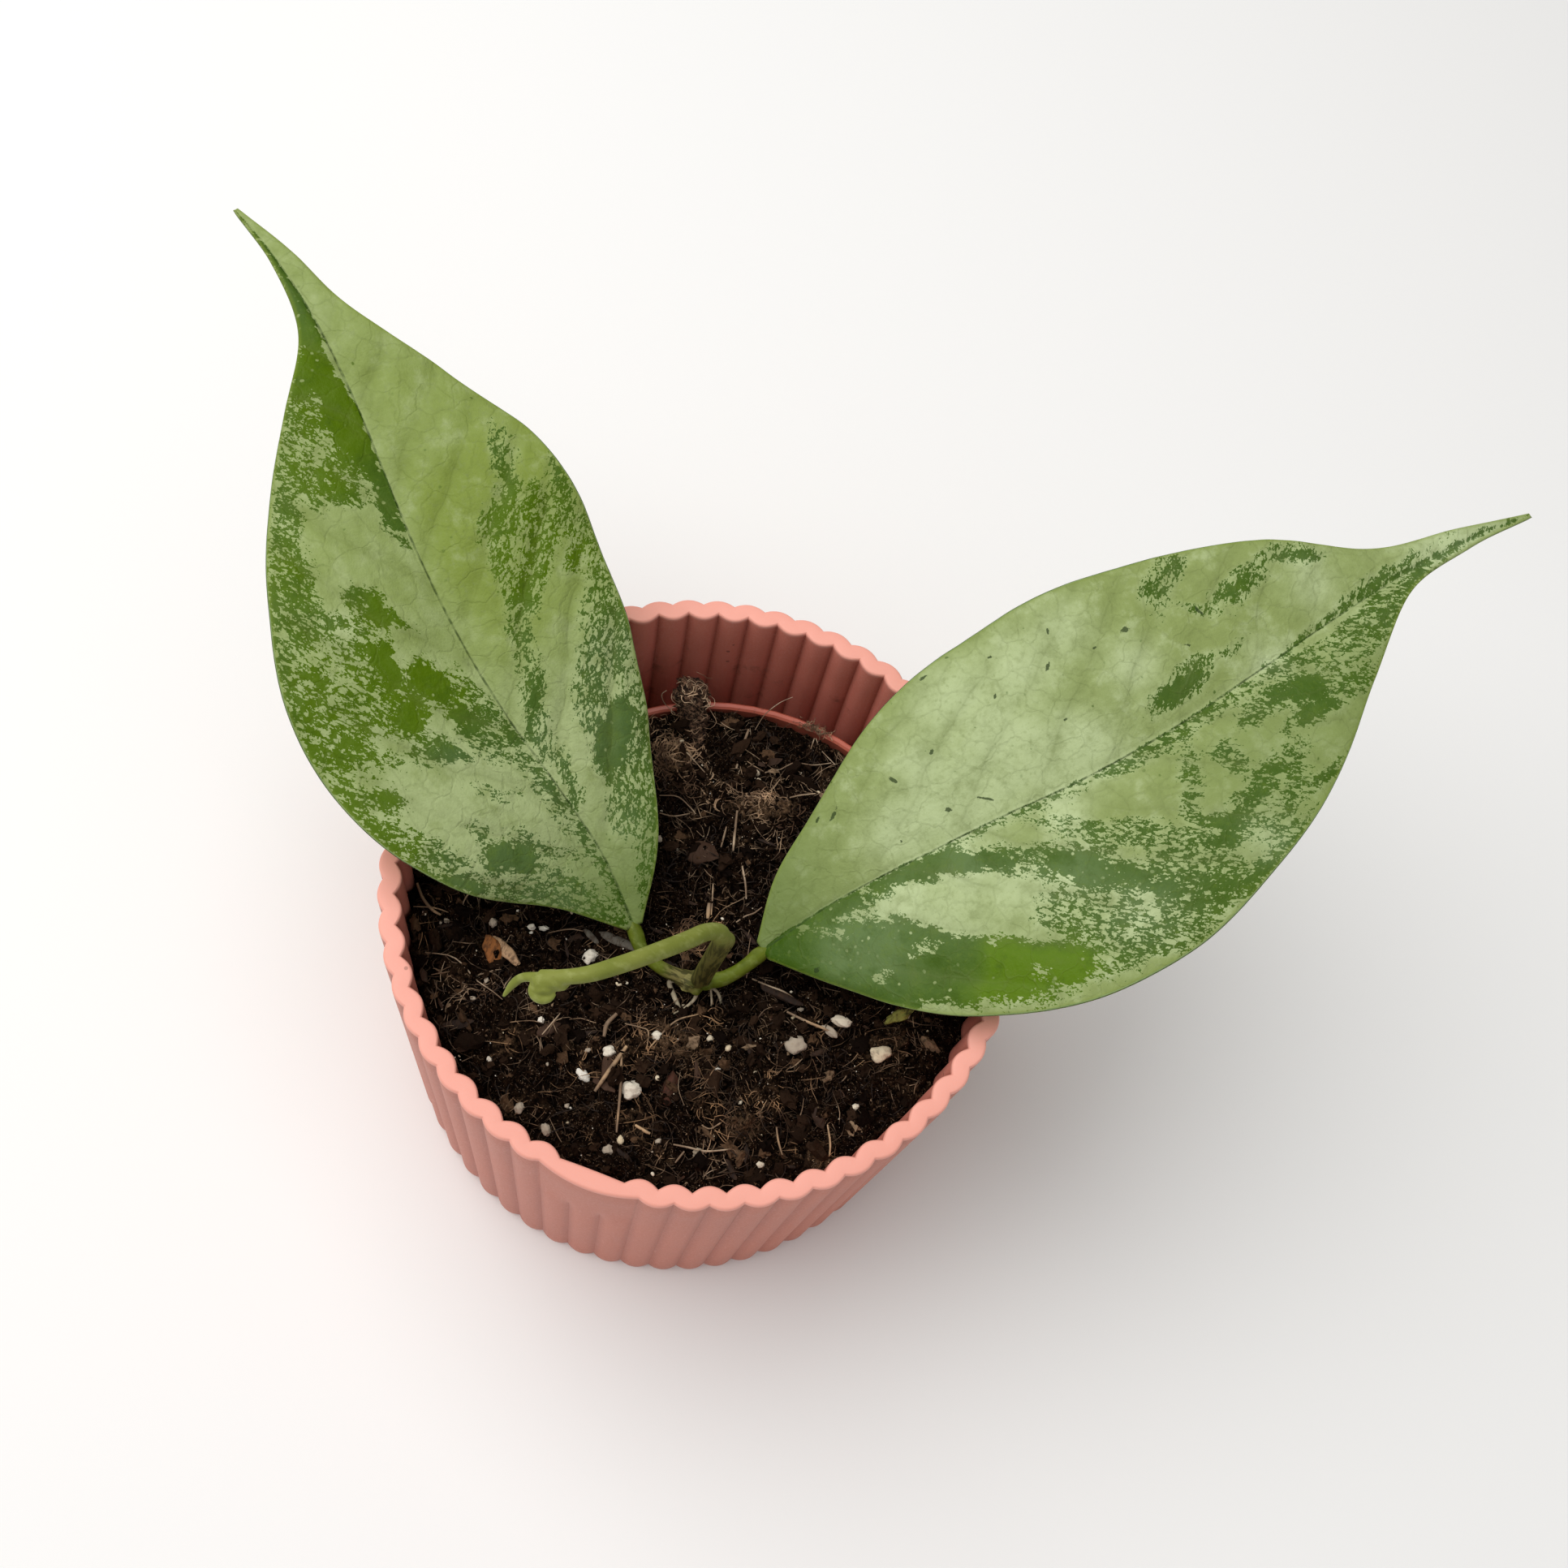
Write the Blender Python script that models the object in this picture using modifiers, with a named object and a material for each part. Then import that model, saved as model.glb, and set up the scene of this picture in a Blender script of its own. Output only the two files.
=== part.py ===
"""Potted hoya: a soft pink fluted cover pot, a thin nursery pot standing in it, potting
mix, a rooted cutting with two long silver-splashed leaves, and a new shoot.

Run it with: blender --background --python part.py
Metres, +Z up. The cover pot stands on the origin and its smooth pad faces -Y.
Lengths below are in millimetres and are turned into metres by MM."""

import math
import random

import bmesh
import bpy
from mathutils import Matrix, Vector, noise

MM = 0.001
GAP = 0.3               # between pieces that touch
TOP_COLLECTION = "potted_hoya"
CUTTER_COLLECTION = "cutters"

# Cover pot: 60 flutes, each an outward arc between two sharp notches
POT_HEIGHT = 88.0
FLUTES = 60
STEPS_PER_FLUTE = 4
PEAK_RADIUS = 60.0      # outside, in the middle of a flute, at the rim
NOTCH_DEPTH = 0.95
CUSP_RADIUS = 56.9      # inside, in the groove behind a flute
INNER_BUMP = 1.3
POT_DRAFT = 0.012       # how much the wall leans in towards the base, mm per mm
POT_FLOOR = 3.5
POT_CORNER = 2.6
PAD_AZIMUTH = -90.0     # the smooth pad, on the upper part of the front
PAD_HALF_OUT = 9.0
PAD_HALF_IN = 6.0
PAD_LOW, PAD_HIGH = 56.0, 68.0

# Nursery pot: thin, plain, a little off the cover pot's axis
NURSERY_CENTRE = (4.3, -2.4)
NURSERY_TOP = 72.0
NURSERY_RADIUS = 49.0
NURSERY_BASE_RADIUS = 38.5
NURSERY_WALL = 1.15
NURSERY_RIM = 1.5
NURSERY_SEGMENTS = 64
NURSERY_FOOT = POT_FLOOR + GAP
DRAIN_HOLES = 6
DRAIN_RADIUS, DRAIN_CIRCLE = 3.5, 25.0

# Potting mix: mounded over the rim, but lower at the back, where the rim shows
SOIL_SEGMENTS = 56
SOIL_CROWN = 72.5
SOIL_BACK_DROP = 5.0
SOIL_BACK_AZIMUTH = 96.0
SOIL_LIP_REACH = 1.9    # past the nursery pot's rim, where the cover pot leaves room
SOIL_LIMIT = 54.8       # from the cover pot's axis
STEM_HOLE_RADIUS = 5.0
STEM_HOLE_FLOOR = 60.0
# Pieces that lie half sunk in the mix: x, y, half lengths, turn in degrees, kind
SOIL_BITS = [
    (0.4, -37.8, 2.0, 1.7, 1.4, 20, "grain"),
    (-8.8, -38.5, 2.3, 1.5, 1.2, 110, "grain"),
    (26.3, -18.9, 2.6, 2.1, 1.7, 15, "grain"),
    (40.6, -14.2, 2.4, 1.9, 1.6, 60, "grain"),
    (-16.1, -16.8, 2.0, 1.6, 1.3, 35, "grain"),
    (-15.4, -40.0, 1.9, 1.5, 1.2, 80, "grain"),
    (16.8, -42.0, 1.6, 1.5, 1.2, 0, "grain"),
    (32.9, -11.9, 2.6, 1.4, 1.2, 25, "grain"),
    (-8.7, 30.2, 1.6, 1.3, 1.2, 40, "grain"),
    (-32.1, -21.7, 4.6, 2.6, 1.2, -35, "chip"),
    (7.3, -35.7, 3.6, 2.0, 1.3, 15, "chip"),
    (-7.5, 15.0, 4.2, 2.6, 1.6, 70, "chip"),
    (-13.0, -11.6, 2.6, 1.3, 1.2, -25, "chip"),
    (19.4, -10.9, 5.4, 0.9, 0.9, -20, "chip"),
    (34.8, -30.0, 3.4, 2.2, 1.3, -50, "chip"),
    (-18.0, -33.0, 3.0, 1.9, 1.2, 50, "chip"),
    (-16.0, 24.0, 6.5, 4.6, 2.6, 30, "clump"),
    (6.0, 15.0, 7.0, 3.8, 2.4, 10, "clump"),
    (4.0, -26.0, 7.5, 3.6, 2.2, 5, "clump"),
    (-15.5, 33.0, 4.2, 3.2, 4.8, 60, "heap"),
]
# Coir that hangs over the back rim, joined to the heap: centre, half lengths, turn
COIR_OVER_RIM = ((-17.7, 37.5, 74.4), (3.9, 4.4, 1.5), 29)
BITS_SEED = 11

# The cutting: a knotted node just above the mix, a stem and roots below it
NODE = (4.2, -14.8, 76.4)
STEM_RADIUS = 1.7
PETIOLE_RADIUS = 1.5
PETIOLE_LEFT = [(3.6, -14.8, 76.3), (-0.3, -15.4, 77.2), (-3.9, -15.2, 78.7), (-7.0, -14.0, 79.8),
                (-9.3, -11.4, 80.5)]
PETIOLE_RIGHT = [(4.9, -14.4, 76.3), (8.3, -13.3, 77.0), (10.7, -11.3, 78.2), (12.5, -9.0, 79.3),
                 (13.6, -7.1, 79.9)]
ROOTS = [
    [(3.2, -15.6, 75.8), (0.8, -16.6, 73.2), (0.5, -16.4, 66.0)],
    [(4.2, -16.2, 75.6), (3.6, -18.5, 72.6), (3.5, -18.4, 65.0)],
    [(5.3, -15.6, 75.6), (7.4, -17.2, 72.8), (7.3, -17.0, 66.5)],
    [(5.3, -13.8, 75.4), (7.6, -13.3, 72.6), (7.4, -13.4, 64.0)],
]
ROOT_RADIUS = 0.55

# The new shoot arches up from the node and over to the left, and ends in a curled bud
SHOOT = [(4.7, -14.9, 78.6), (5.6, -16.2, 92.0), (6.5, -17.4, 106.0), (7.0, -18.4, 116.0),
         (6.3, -19.3, 121.2), (4.4, -21.2, 124.2), (2.5, -24.0, 126.5), (-0.4, -27.7, 129.0),
         (-3.3, -31.1, 131.0), (-6.2, -34.1, 132.3), (-9.8, -37.2, 133.0), (-13.6, -39.0, 132.4),
         (-16.6, -39.8, 131.4)]
SHOOT_RADIUS = 1.6
SHOOT_TIP = [(-16.0, -39.8, 131.5), (-19.0, -40.4, 130.0), (-20.3, -41.6, 128.6), (-21.1, -43.6, 127.0)]
SHOOT_TIP_RADIUS = 0.9
# The bud's scales and its first curled leaf: centre, half lengths, turn
SHOOT_BUDS = [((-15.2, -39.6, 131.6), (3.3, 2.1, 2.0), 20), ((-15.3, -41.0, 130.6), (2.6, 1.5, 1.6), 12)]

# Leaves: midrib points, then half-widths left and right of it at STATIONS, seen from
# the base outwards. The first stations lie closer because the base is broad and round.
STATIONS = [0, 0.05, 0.1, 0.2, 0.3, 0.4, 0.5, 0.6, 0.7, 0.8, 0.9, 1]
LEAF_LEFT = {
    "midrib": [(-9.8, -10.7, 81.0), (-20.6, -1.3, 87.8), (-33.1, 5.9, 94.3), (-46.0, 13.0, 100.3),
               (-58.3, 21.5, 105.9), (-69.9, 31.2, 110.8), (-80.9, 42.0, 114.9), (-91.9, 53.0, 118.3),
               (-103.7, 63.5, 120.7), (-116.3, 73.1, 121.4), (-129.5, 81.9, 120.0)],
    "left": [1.6, 10.3, 19.2, 29.8, 34.8, 34.4, 29.2, 22.0, 13.2, 3.9, 1.2, 0.4],
    "right": [1.6, 7.2, 12.4, 22.4, 28.2, 30.7, 31.4, 27.4, 17.0, 7.0, 3.6, 0.5],
}
LEAF_RIGHT = {
    "midrib": [(14.0, -6.0, 80.4), (23.9, 6.3, 87.5), (35.5, 17.6, 94.4), (47.5, 28.9, 100.7),
               (59.8, 40.3, 106.3), (71.0, 52.9, 111.2), (81.3, 66.7, 115.2), (91.4, 80.8, 118.4),
               (101.9, 94.8, 120.7), (113.2, 108.2, 121.3), (125.2, 121.0, 120.0)],
    "left": [1.9, 9.3, 14.8, 25.8, 32.0, 33.8, 32.3, 27.6, 19.0, 7.3, 3.2, 0.5],
    "right": [1.9, 14.0, 23.0, 33.2, 38.5, 37.4, 31.7, 24.4, 14.0, 3.8, 1.4, 0.4],
}
LEAF_THICKNESS = 1.1
LEAF_ROWS, LEAF_COLUMNS = 30, 10
LEAF_FOLD = math.radians(16)
LEAF_RECURVE = 0.62     # how much of the fold's rise the margins give back
LEAF_WAVE = 0.9


def clear_scene():
    """Empty the scene that Blender starts with."""
    for thing in list(bpy.data.objects):
        bpy.data.objects.remove(thing, do_unlink=True)


def add_collection(name):
    found = bpy.data.collections.new(name)
    bpy.context.scene.collection.children.link(found)
    return found


def smooth_step(low, high, value):
    t = min(max((value - low) / (high - low), 0.0), 1.0)
    return t * t * (3 - 2 * t)


def mix(a, b, t):
    return a + (b - a) * t


def curve_through(stations, values, where):
    """A smooth curve through values at stations: a cubic between each two of them."""
    last = len(stations) - 1
    i = max(k for k in range(last) if stations[k] <= where or k == 0)

    def slope(k):
        low, high = max(k - 1, 0), min(k + 1, last)
        return (values[high] - values[low]) * (1 / (stations[high] - stations[low]))

    span = stations[i + 1] - stations[i]
    t = (where - stations[i]) / span
    return (values[i] * ((1 + 2 * t) * (1 - t) ** 2) + slope(i) * (span * t * (1 - t) ** 2)
            + values[i + 1] * (t * t * (3 - 2 * t)) + slope(i + 1) * (span * t * t * (t - 1)))


def even_points(points, count):
    """Points on a smooth curve through the given ones."""
    stations = [k / (len(points) - 1) for k in range(len(points))]
    vectors = [Vector(p) for p in points]
    return [curve_through(stations, vectors, k / (count - 1)) for k in range(count)]


def make_material(name, colour, roughness, metallic=0.0):
    material = bpy.data.materials.new(name)
    material.use_nodes = True
    shader = material.node_tree.nodes["Principled BSDF"]
    shader.inputs["Base Color"].default_value = (*colour, 1)
    shader.inputs["Roughness"].default_value = roughness
    shader.inputs["Metallic"].default_value = metallic
    material.diffuse_color = (*colour, 1)
    return material


def new_object(name, mesh, collection, material=None):
    made = bpy.data.objects.new(name, mesh)
    collection.objects.link(made)
    if material:
        mesh.materials.append(material)
    return made


def mesh_from(bm, name):
    """Close off an edited mesh: metres, outward faces."""
    bmesh.ops.scale(bm, vec=(MM, MM, MM), verts=bm.verts)
    bmesh.ops.recalc_face_normals(bm, faces=bm.faces)
    mesh = bpy.data.meshes.new(name)
    bm.to_mesh(mesh)
    bm.free()
    return mesh


def turned(profile, segments):
    """A solid turned about Z from a profile of (radius, height) that ends on the axis."""
    bm = bmesh.new()
    verts = [bm.verts.new((radius, 0, height)) for radius, height in profile]
    edges = [bm.edges.new(pair) for pair in zip(verts, verts[1:])]
    bmesh.ops.spin(bm, geom=verts + edges, cent=(0, 0, 0), axis=(0, 0, 1),
                   angle=2 * math.pi, steps=segments, use_merge=True, use_duplicate=False)
    bmesh.ops.remove_doubles(bm, verts=bm.verts, dist=0.001)
    return bm


def bake_modifiers(thing):
    """Apply all of an object's modifiers."""
    graph = bpy.context.evaluated_depsgraph_get()
    mesh = bpy.data.meshes.new_from_object(thing.evaluated_get(graph))
    thing.modifiers.clear()
    old, thing.data = thing.data, mesh
    if old.users == 0:
        (bpy.data.meshes if isinstance(old, bpy.types.Mesh) else bpy.data.curves).remove(old)


def unite(body, parts, name):
    """Fuse the parts into the body by one Boolean union, and drop them."""
    group = add_collection(name)
    for part in parts:
        for home in list(part.users_collection):
            home.objects.unlink(part)
        group.objects.link(part)
    union = body.modifiers.new("union", "BOOLEAN")
    union.operation = "UNION"
    union.operand_type = "COLLECTION"
    union.collection = group
    union.solver = "EXACT"
    bake_modifiers(body)
    for part in list(group.objects):
        bpy.data.objects.remove(part, do_unlink=True)
    bpy.data.collections.remove(group)


def cut(body, cutters):
    """Take the cutters out of the body. They stay in their collection, hidden."""
    group = bpy.data.collections[CUTTER_COLLECTION]
    for cutter in cutters:
        cutter.hide_render = True
        cutter.display_type = "WIRE"
        group.objects.link(cutter)
        step = body.modifiers.new(cutter.name, "BOOLEAN")
        step.operation = "DIFFERENCE"
        step.object = cutter
        step.solver = "EXACT"
    bake_modifiers(body)


def cylinder(name, radius, low, high, centre, sides):
    bm = bmesh.new()
    place = Matrix.Translation((centre[0], centre[1], (low + high) / 2))
    bmesh.ops.create_cone(bm, cap_ends=True, segments=sides, radius1=radius, radius2=radius,
                          depth=high - low, matrix=place)
    return bpy.data.objects.new(name, mesh_from(bm, name))


def tube(name, points, radii, count, collection, material, resolution=2):
    """A round stem along a smooth curve, with its radius given along the way."""
    curve = bpy.data.curves.new(name, "CURVE")
    curve.dimensions = "3D"
    curve.bevel_depth = MM
    curve.bevel_resolution = resolution
    curve.use_fill_caps = True
    spline = curve.splines.new("POLY")
    spline.points.add(count - 1)
    steps = [k / (len(radii) - 1) for k in range(len(radii))]
    for k, place in enumerate(even_points(points, count)):
        spline.points[k].co = (*(place * MM), 1)
        spline.points[k].radius = curve_through(steps, radii, k / (count - 1))
    made = new_object(name, curve, collection)
    mesh = bpy.data.meshes.new_from_object(made)
    bpy.data.objects.remove(made, do_unlink=True)
    bpy.data.curves.remove(curve)
    return new_object(name, mesh, collection, material)


def blob(name, centre, half, turn, collection, detail=1, rough=0.0, seed=0):
    """A low-sided rounded lump."""
    bm = bmesh.new()
    bmesh.ops.create_icosphere(bm, subdivisions=detail, radius=1)
    for vert in bm.verts:
        vert.co *= 1 + rough * noise.noise(vert.co * 1.7 + Vector((seed * 3.1, 0, 0)))
    bmesh.ops.scale(bm, vec=half, verts=bm.verts)
    bmesh.ops.rotate(bm, matrix=Matrix.Rotation(math.radians(turn), 3, "Z"), verts=bm.verts)
    bmesh.ops.translate(bm, vec=centre, verts=bm.verts)
    return new_object(name, mesh_from(bm, name), collection)


# Cover pot

def off_flute(azimuth, middle):
    """0 at the middle of a flute and 1 at its edges; middle is the azimuth of any one."""
    turns = (azimuth - middle) * FLUTES / 360
    return 2 * abs(turns - round(turns))


def off_pad(azimuth, half):
    return abs((azimuth - PAD_AZIMUTH + 180) % 360 - 180) / half


def outer_cut(azimuth, pad):
    """How far the outside stays within the peak radius."""
    flute = NOTCH_DEPTH * off_flute(azimuth, PAD_AZIMUTH) ** 2
    across = off_pad(azimuth, PAD_HALF_OUT)
    return mix(flute, NOTCH_DEPTH * across ** 2, pad) if across < 1 else flute


def inner_cut(azimuth, pad):
    """How far the inside stands within the groove radius."""
    bump = INNER_BUMP * (1 - off_flute(azimuth, PAD_AZIMUTH + 180 / FLUTES) ** 2)
    across = off_pad(azimuth, PAD_HALF_IN)
    return mix(bump, 0.4 * (1 - across ** 2), pad) if across < 1 else bump


def cover_pot(collection):
    outside, inside, top = PEAK_RADIUS, CUSP_RADIUS, POT_HEIGHT
    profile = [(0, 0), (outside - POT_CORNER, 0), (outside - 0.8, 0.7), (outside, POT_CORNER),
               (outside, PAD_LOW), (outside, PAD_HIGH), (outside, top - 0.8), (outside - 0.7, top),
               (inside + 0.5, top), (inside, top - 0.7), (inside, PAD_HIGH), (inside, PAD_LOW),
               (inside, POT_FLOOR + 3), (inside - 2.5, POT_FLOOR), (0, POT_FLOOR)]
    bm = turned(profile, FLUTES * STEPS_PER_FLUTE)
    middle = (outside + inside) / 2
    for vert in bm.verts:
        x, y, z = vert.co
        radius = math.hypot(x, y)
        if radius < 1:
            continue
        azimuth = math.degrees(math.atan2(y, x))
        pad = smooth_step(PAD_LOW, PAD_HIGH, z)
        is_out = radius > middle or z < POT_FLOOR / 2
        inward = outer_cut(azimuth, pad) if is_out else inner_cut(azimuth, pad)
        if z in (0.0, POT_FLOOR):
            inward *= 0.5
        factor = 1 - (inward + POT_DRAFT * (top - z)) / radius
        vert.co = (x * factor, y * factor, z)
    pink = make_material("pot_pink", (0.93, 0.42, 0.34), 0.5)
    return new_object("cover_pot", mesh_from(bm, "cover_pot"), collection, pink)


# Nursery pot

def nursery_radius(height):
    """Radius of its outside at a height."""
    t = (height - NURSERY_FOOT) / (NURSERY_TOP - NURSERY_FOOT)
    return mix(NURSERY_BASE_RADIUS, NURSERY_RADIUS, t)


def nursery_pot(collection):
    foot, top = NURSERY_FOOT, NURSERY_TOP
    floor = foot + NURSERY_WALL
    rim_low = top - 3.0
    wall = NURSERY_WALL
    profile = [(0, foot), (NURSERY_BASE_RADIUS - 1.2, foot), (nursery_radius(foot + 1.6), foot + 1.6),
               (nursery_radius(rim_low), rim_low), (NURSERY_RADIUS, top - 1.8), (NURSERY_RADIUS, top - 0.4),
               (NURSERY_RADIUS - 0.4, top), (NURSERY_RADIUS - NURSERY_RIM + 0.4, top),
               (NURSERY_RADIUS - NURSERY_RIM, top - 0.4), (nursery_radius(rim_low) - wall, rim_low),
               (nursery_radius(floor + 1.6) - wall, floor + 1.6),
               (NURSERY_BASE_RADIUS - wall - 1.2, floor), (0, floor)]
    bm = turned(profile, NURSERY_SEGMENTS)
    bmesh.ops.translate(bm, vec=(*NURSERY_CENTRE, 0), verts=bm.verts)
    orange = make_material("nursery_terracotta", (0.56, 0.13, 0.07), 0.45)
    pot = new_object("nursery_pot", mesh_from(bm, "nursery_pot"), collection, orange)
    holes = []
    for k in range(DRAIN_HOLES):
        angle = 2 * math.pi * k / DRAIN_HOLES
        centre = (NURSERY_CENTRE[0] + DRAIN_CIRCLE * math.cos(angle),
                  NURSERY_CENTRE[1] + DRAIN_CIRCLE * math.sin(angle))
        holes.append(cylinder(f"drain_cutter_{k}", DRAIN_RADIUS, foot - 2, floor + 2, centre, 12))
    cut(pot, holes)
    return pot


# Potting mix

def behind(azimuth):
    """1 at the back, where the mix lies low, falling to 0 at the sides."""
    away = abs((azimuth - SOIL_BACK_AZIMUTH + 180) % 360 - 180)
    return 1 - smooth_step(38, 78, away)


def lip_radius(azimuth, wanted):
    """The wanted radius about the nursery pot's centre, kept within the cover pot."""
    turn = math.radians(azimuth)
    along = NURSERY_CENTRE[0] * math.cos(turn) + NURSERY_CENTRE[1] * math.sin(turn)
    off = NURSERY_CENTRE[0] ** 2 + NURSERY_CENTRE[1] ** 2
    return min(wanted, math.sqrt(along ** 2 - off + SOIL_LIMIT ** 2) - along)


def soil_height(x, y):
    """Height of the mix at a place, both in the nursery pot's own centre's frame."""
    radius = math.hypot(x, y)
    low = behind(math.degrees(math.atan2(y, x)))
    place = Vector((x, y, 0))
    lumps = (1.5 * noise.noise(place * 0.09) + 0.9 * noise.noise(place * 0.21 + Vector((7, 3, 1)))
             + 0.5 * noise.noise(place * 0.5))
    dish = SOIL_BACK_DROP * low * smooth_step(6, 34, radius)
    return SOIL_CROWN + 1.2 * math.cos(min(radius / 46, 1) * math.pi / 2) - dish + lumps


def potting_mix(collection):
    foot = NURSERY_FOOT + NURSERY_WALL + GAP
    inner = nursery_radius(NURSERY_TOP - 3) - NURSERY_WALL - GAP
    rings = [(0, foot), (NURSERY_BASE_RADIUS - NURSERY_WALL - 1.6, foot),
             (nursery_radius(foot + 1.8) - NURSERY_WALL - GAP, foot + 1.8), (inner - 1.9, 58.0)]
    # Above these the rings are shaped by formula: neck, lip, lip's edge, then the top
    shaped = [46.2, 47.0, 48.0, 46.0, 44.5, 41.0, 37.0, 33.0, 28.5, 24.0, 19.5, 15.0, 10.5, 6.0, 0]
    profile = rings + [(radius, 100.0 + k) for k, radius in enumerate(shaped)]
    bm = turned(profile, SOIL_SEGMENTS)
    rim_outer = NURSERY_RADIUS + SOIL_LIP_REACH
    for vert in bm.verts:
        x, y, z = vert.co
        if z < 99:
            continue
        k = round(z - 100)
        radius = math.hypot(x, y)
        azimuth = math.degrees(math.atan2(y, x)) if radius > 0.01 else 0.0
        low = behind(azimuth)
        tuck, drop = min(low * 2.4, 1), max(low * 2.4 - 1.4, 0)     # in first, then down
        ripple = 0.5 * noise.noise(Vector((x * 0.25, y * 0.25, 4)))
        lip = lip_radius(azimuth, rim_outer + ripple)
        if k == 0:      # the neck, just inside the rim
            radius, z = mix(46.2, 45.6, tuck), mix(NURSERY_TOP - 3.4, NURSERY_TOP - 8.5, drop)
        elif k == 1:    # under the lip, on top of the rim
            radius, z = mix(46.8, 46.0, tuck), mix(NURSERY_TOP + GAP, NURSERY_TOP - 7.0, drop)
        elif k == 2:    # the lip's edge
            radius, z = mix(lip, 46.1, tuck), mix(NURSERY_TOP + GAP, NURSERY_TOP - 6.0, drop)
        elif k == 3:
            radius, z = mix(lip - 0.5, 45.7, tuck), mix(NURSERY_TOP + 1.3, NURSERY_TOP - 5.0, drop)
        elif k == 4:
            radius = mix(48.4, 44.4, tuck)
        elif k == 5:
            radius = mix(44.4, 41.2, tuck)
        if k > 3:
            turn = math.radians(azimuth)
            z = soil_height(radius * math.cos(turn), radius * math.sin(turn))
            z = max(z, NURSERY_TOP + 1.6) if radius > 45 else z
        turn = math.radians(azimuth)
        vert.co = (radius * math.cos(turn), radius * math.sin(turn), z)
    bmesh.ops.translate(bm, vec=(*NURSERY_CENTRE, 0), verts=bm.verts)
    bmesh.ops.triangulate(bm, faces=bm.faces)
    dark = make_material("potting_mix", (0.045, 0.028, 0.018), 0.95)
    soil = new_object("potting_mix", mesh_from(bm, "potting_mix"), collection, dark)
    unite(soil, soil_bits(collection), "soil_bits")
    hole = cylinder("stem_hole_cutter", STEM_HOLE_RADIUS, STEM_HOLE_FLOOR, 84.0, NODE, 16)
    cut(soil, [hole])
    return soil


def soil_bits(collection):
    """Perlite grains, bark chips and coir clumps, each half sunk in the mix."""
    draw = random.Random(BITS_SEED)
    bits = []
    for k, (x, y, long, wide, tall, turn, kind) in enumerate(SOIL_BITS):
        height = soil_height(x - NURSERY_CENTRE[0], y - NURSERY_CENTRE[1])
        sunk = {"grain": 0.15, "chip": 0.3, "clump": 0.55, "heap": -0.4}[kind]
        centre = (x, y, height - sunk * tall)
        rough = 0.25 if kind == "grain" else 0.45
        bit = blob(f"bit_{k}", centre, (long, wide, tall), turn + draw.uniform(-4, 4), collection,
                   detail=2 if kind == "clump" else 1, rough=rough, seed=k)
        bits.append(bit)
    bits.append(blob("bit_over_rim", *COIR_OVER_RIM, collection, detail=2, rough=0.2))
    return bits


# The cutting

def hoya_stem(collection):
    green = make_material("stem_green", (0.17, 0.2, 0.06), 0.5)
    low = (NODE[0], NODE[1], STEM_HOLE_FLOOR + 1)
    body = tube("hoya_stem", [low, (4.0, -14.4, 70), NODE], [1.4, STEM_RADIUS, 2.0], 7,
                collection, green, resolution=2)
    parts = [blob("knot", (NODE[0] + 0.1, NODE[1] - 0.2, NODE[2] - 0.4), (2.9, 2.6, 2.3), 20, collection, 2, 0.15)]
    radii = [1.7, PETIOLE_RADIUS, PETIOLE_RADIUS * 0.95, PETIOLE_RADIUS]
    parts.append(tube("petiole_a", PETIOLE_LEFT, radii, 9, collection, None))
    parts.append(tube("petiole_b", PETIOLE_RIGHT, radii, 9, collection, None))
    for k, route in enumerate(ROOTS):
        parts.append(tube(f"root_{k}", route, [ROOT_RADIUS, ROOT_RADIUS, 0.35], 7, collection, None, 1))
    unite(body, parts, "stem_parts")
    return body


def new_shoot(collection):
    lime = make_material("shoot_lime", (0.28, 0.29, 0.06), 0.45)
    thick = SHOOT_RADIUS
    radii = [thick, thick, thick, thick, thick * 0.95, thick * 0.9]
    body = tube("new_shoot", SHOOT, radii, 30, collection, lime, resolution=2)
    parts = [tube("shoot_tip", SHOOT_TIP, [1.0, SHOOT_TIP_RADIUS, 0.35], 8, collection, None, 1)]
    for k, (centre, half, turn) in enumerate(SHOOT_BUDS):
        parts.append(blob(f"bud_{k}", centre, half, turn, collection, 1))
    unite(body, parts, "shoot_parts")
    return body


# Leaves

def leaf_point(leaf, s, v):
    """A place on a leaf's upper face: s from 0 at its base to 1 at its tip, and v from
    -1 at its right margin to 1 at its left one."""
    points = [Vector(p) for p in leaf["midrib"]]
    stations = [k / (len(points) - 1) for k in range(len(points))]
    here = curve_through(stations, points, s)
    ahead = curve_through(stations, points, min(s + 0.02, 1)) - curve_through(stations, points, max(s - 0.02, 0))
    ahead.normalize()
    aside = Vector((0, 0, 1)).cross(ahead).normalized()
    upward = ahead.cross(aside)
    half = curve_through(STATIONS, leaf["left" if v > 0 else "right"], s)
    across = abs(v)
    rise = half * math.sin(LEAF_FOLD) * across * (1 - LEAF_RECURVE * across)
    body = smooth_step(0, 0.12, s) * (1 - smooth_step(0.75, 0.95, s))
    wave = LEAF_WAVE * across ** 2 * body * math.sin(s * 26 + (2.1 if v > 0 else 0.0))
    return here + aside * (math.copysign(half, v) * across) + upward * (rise + wave)


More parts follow.
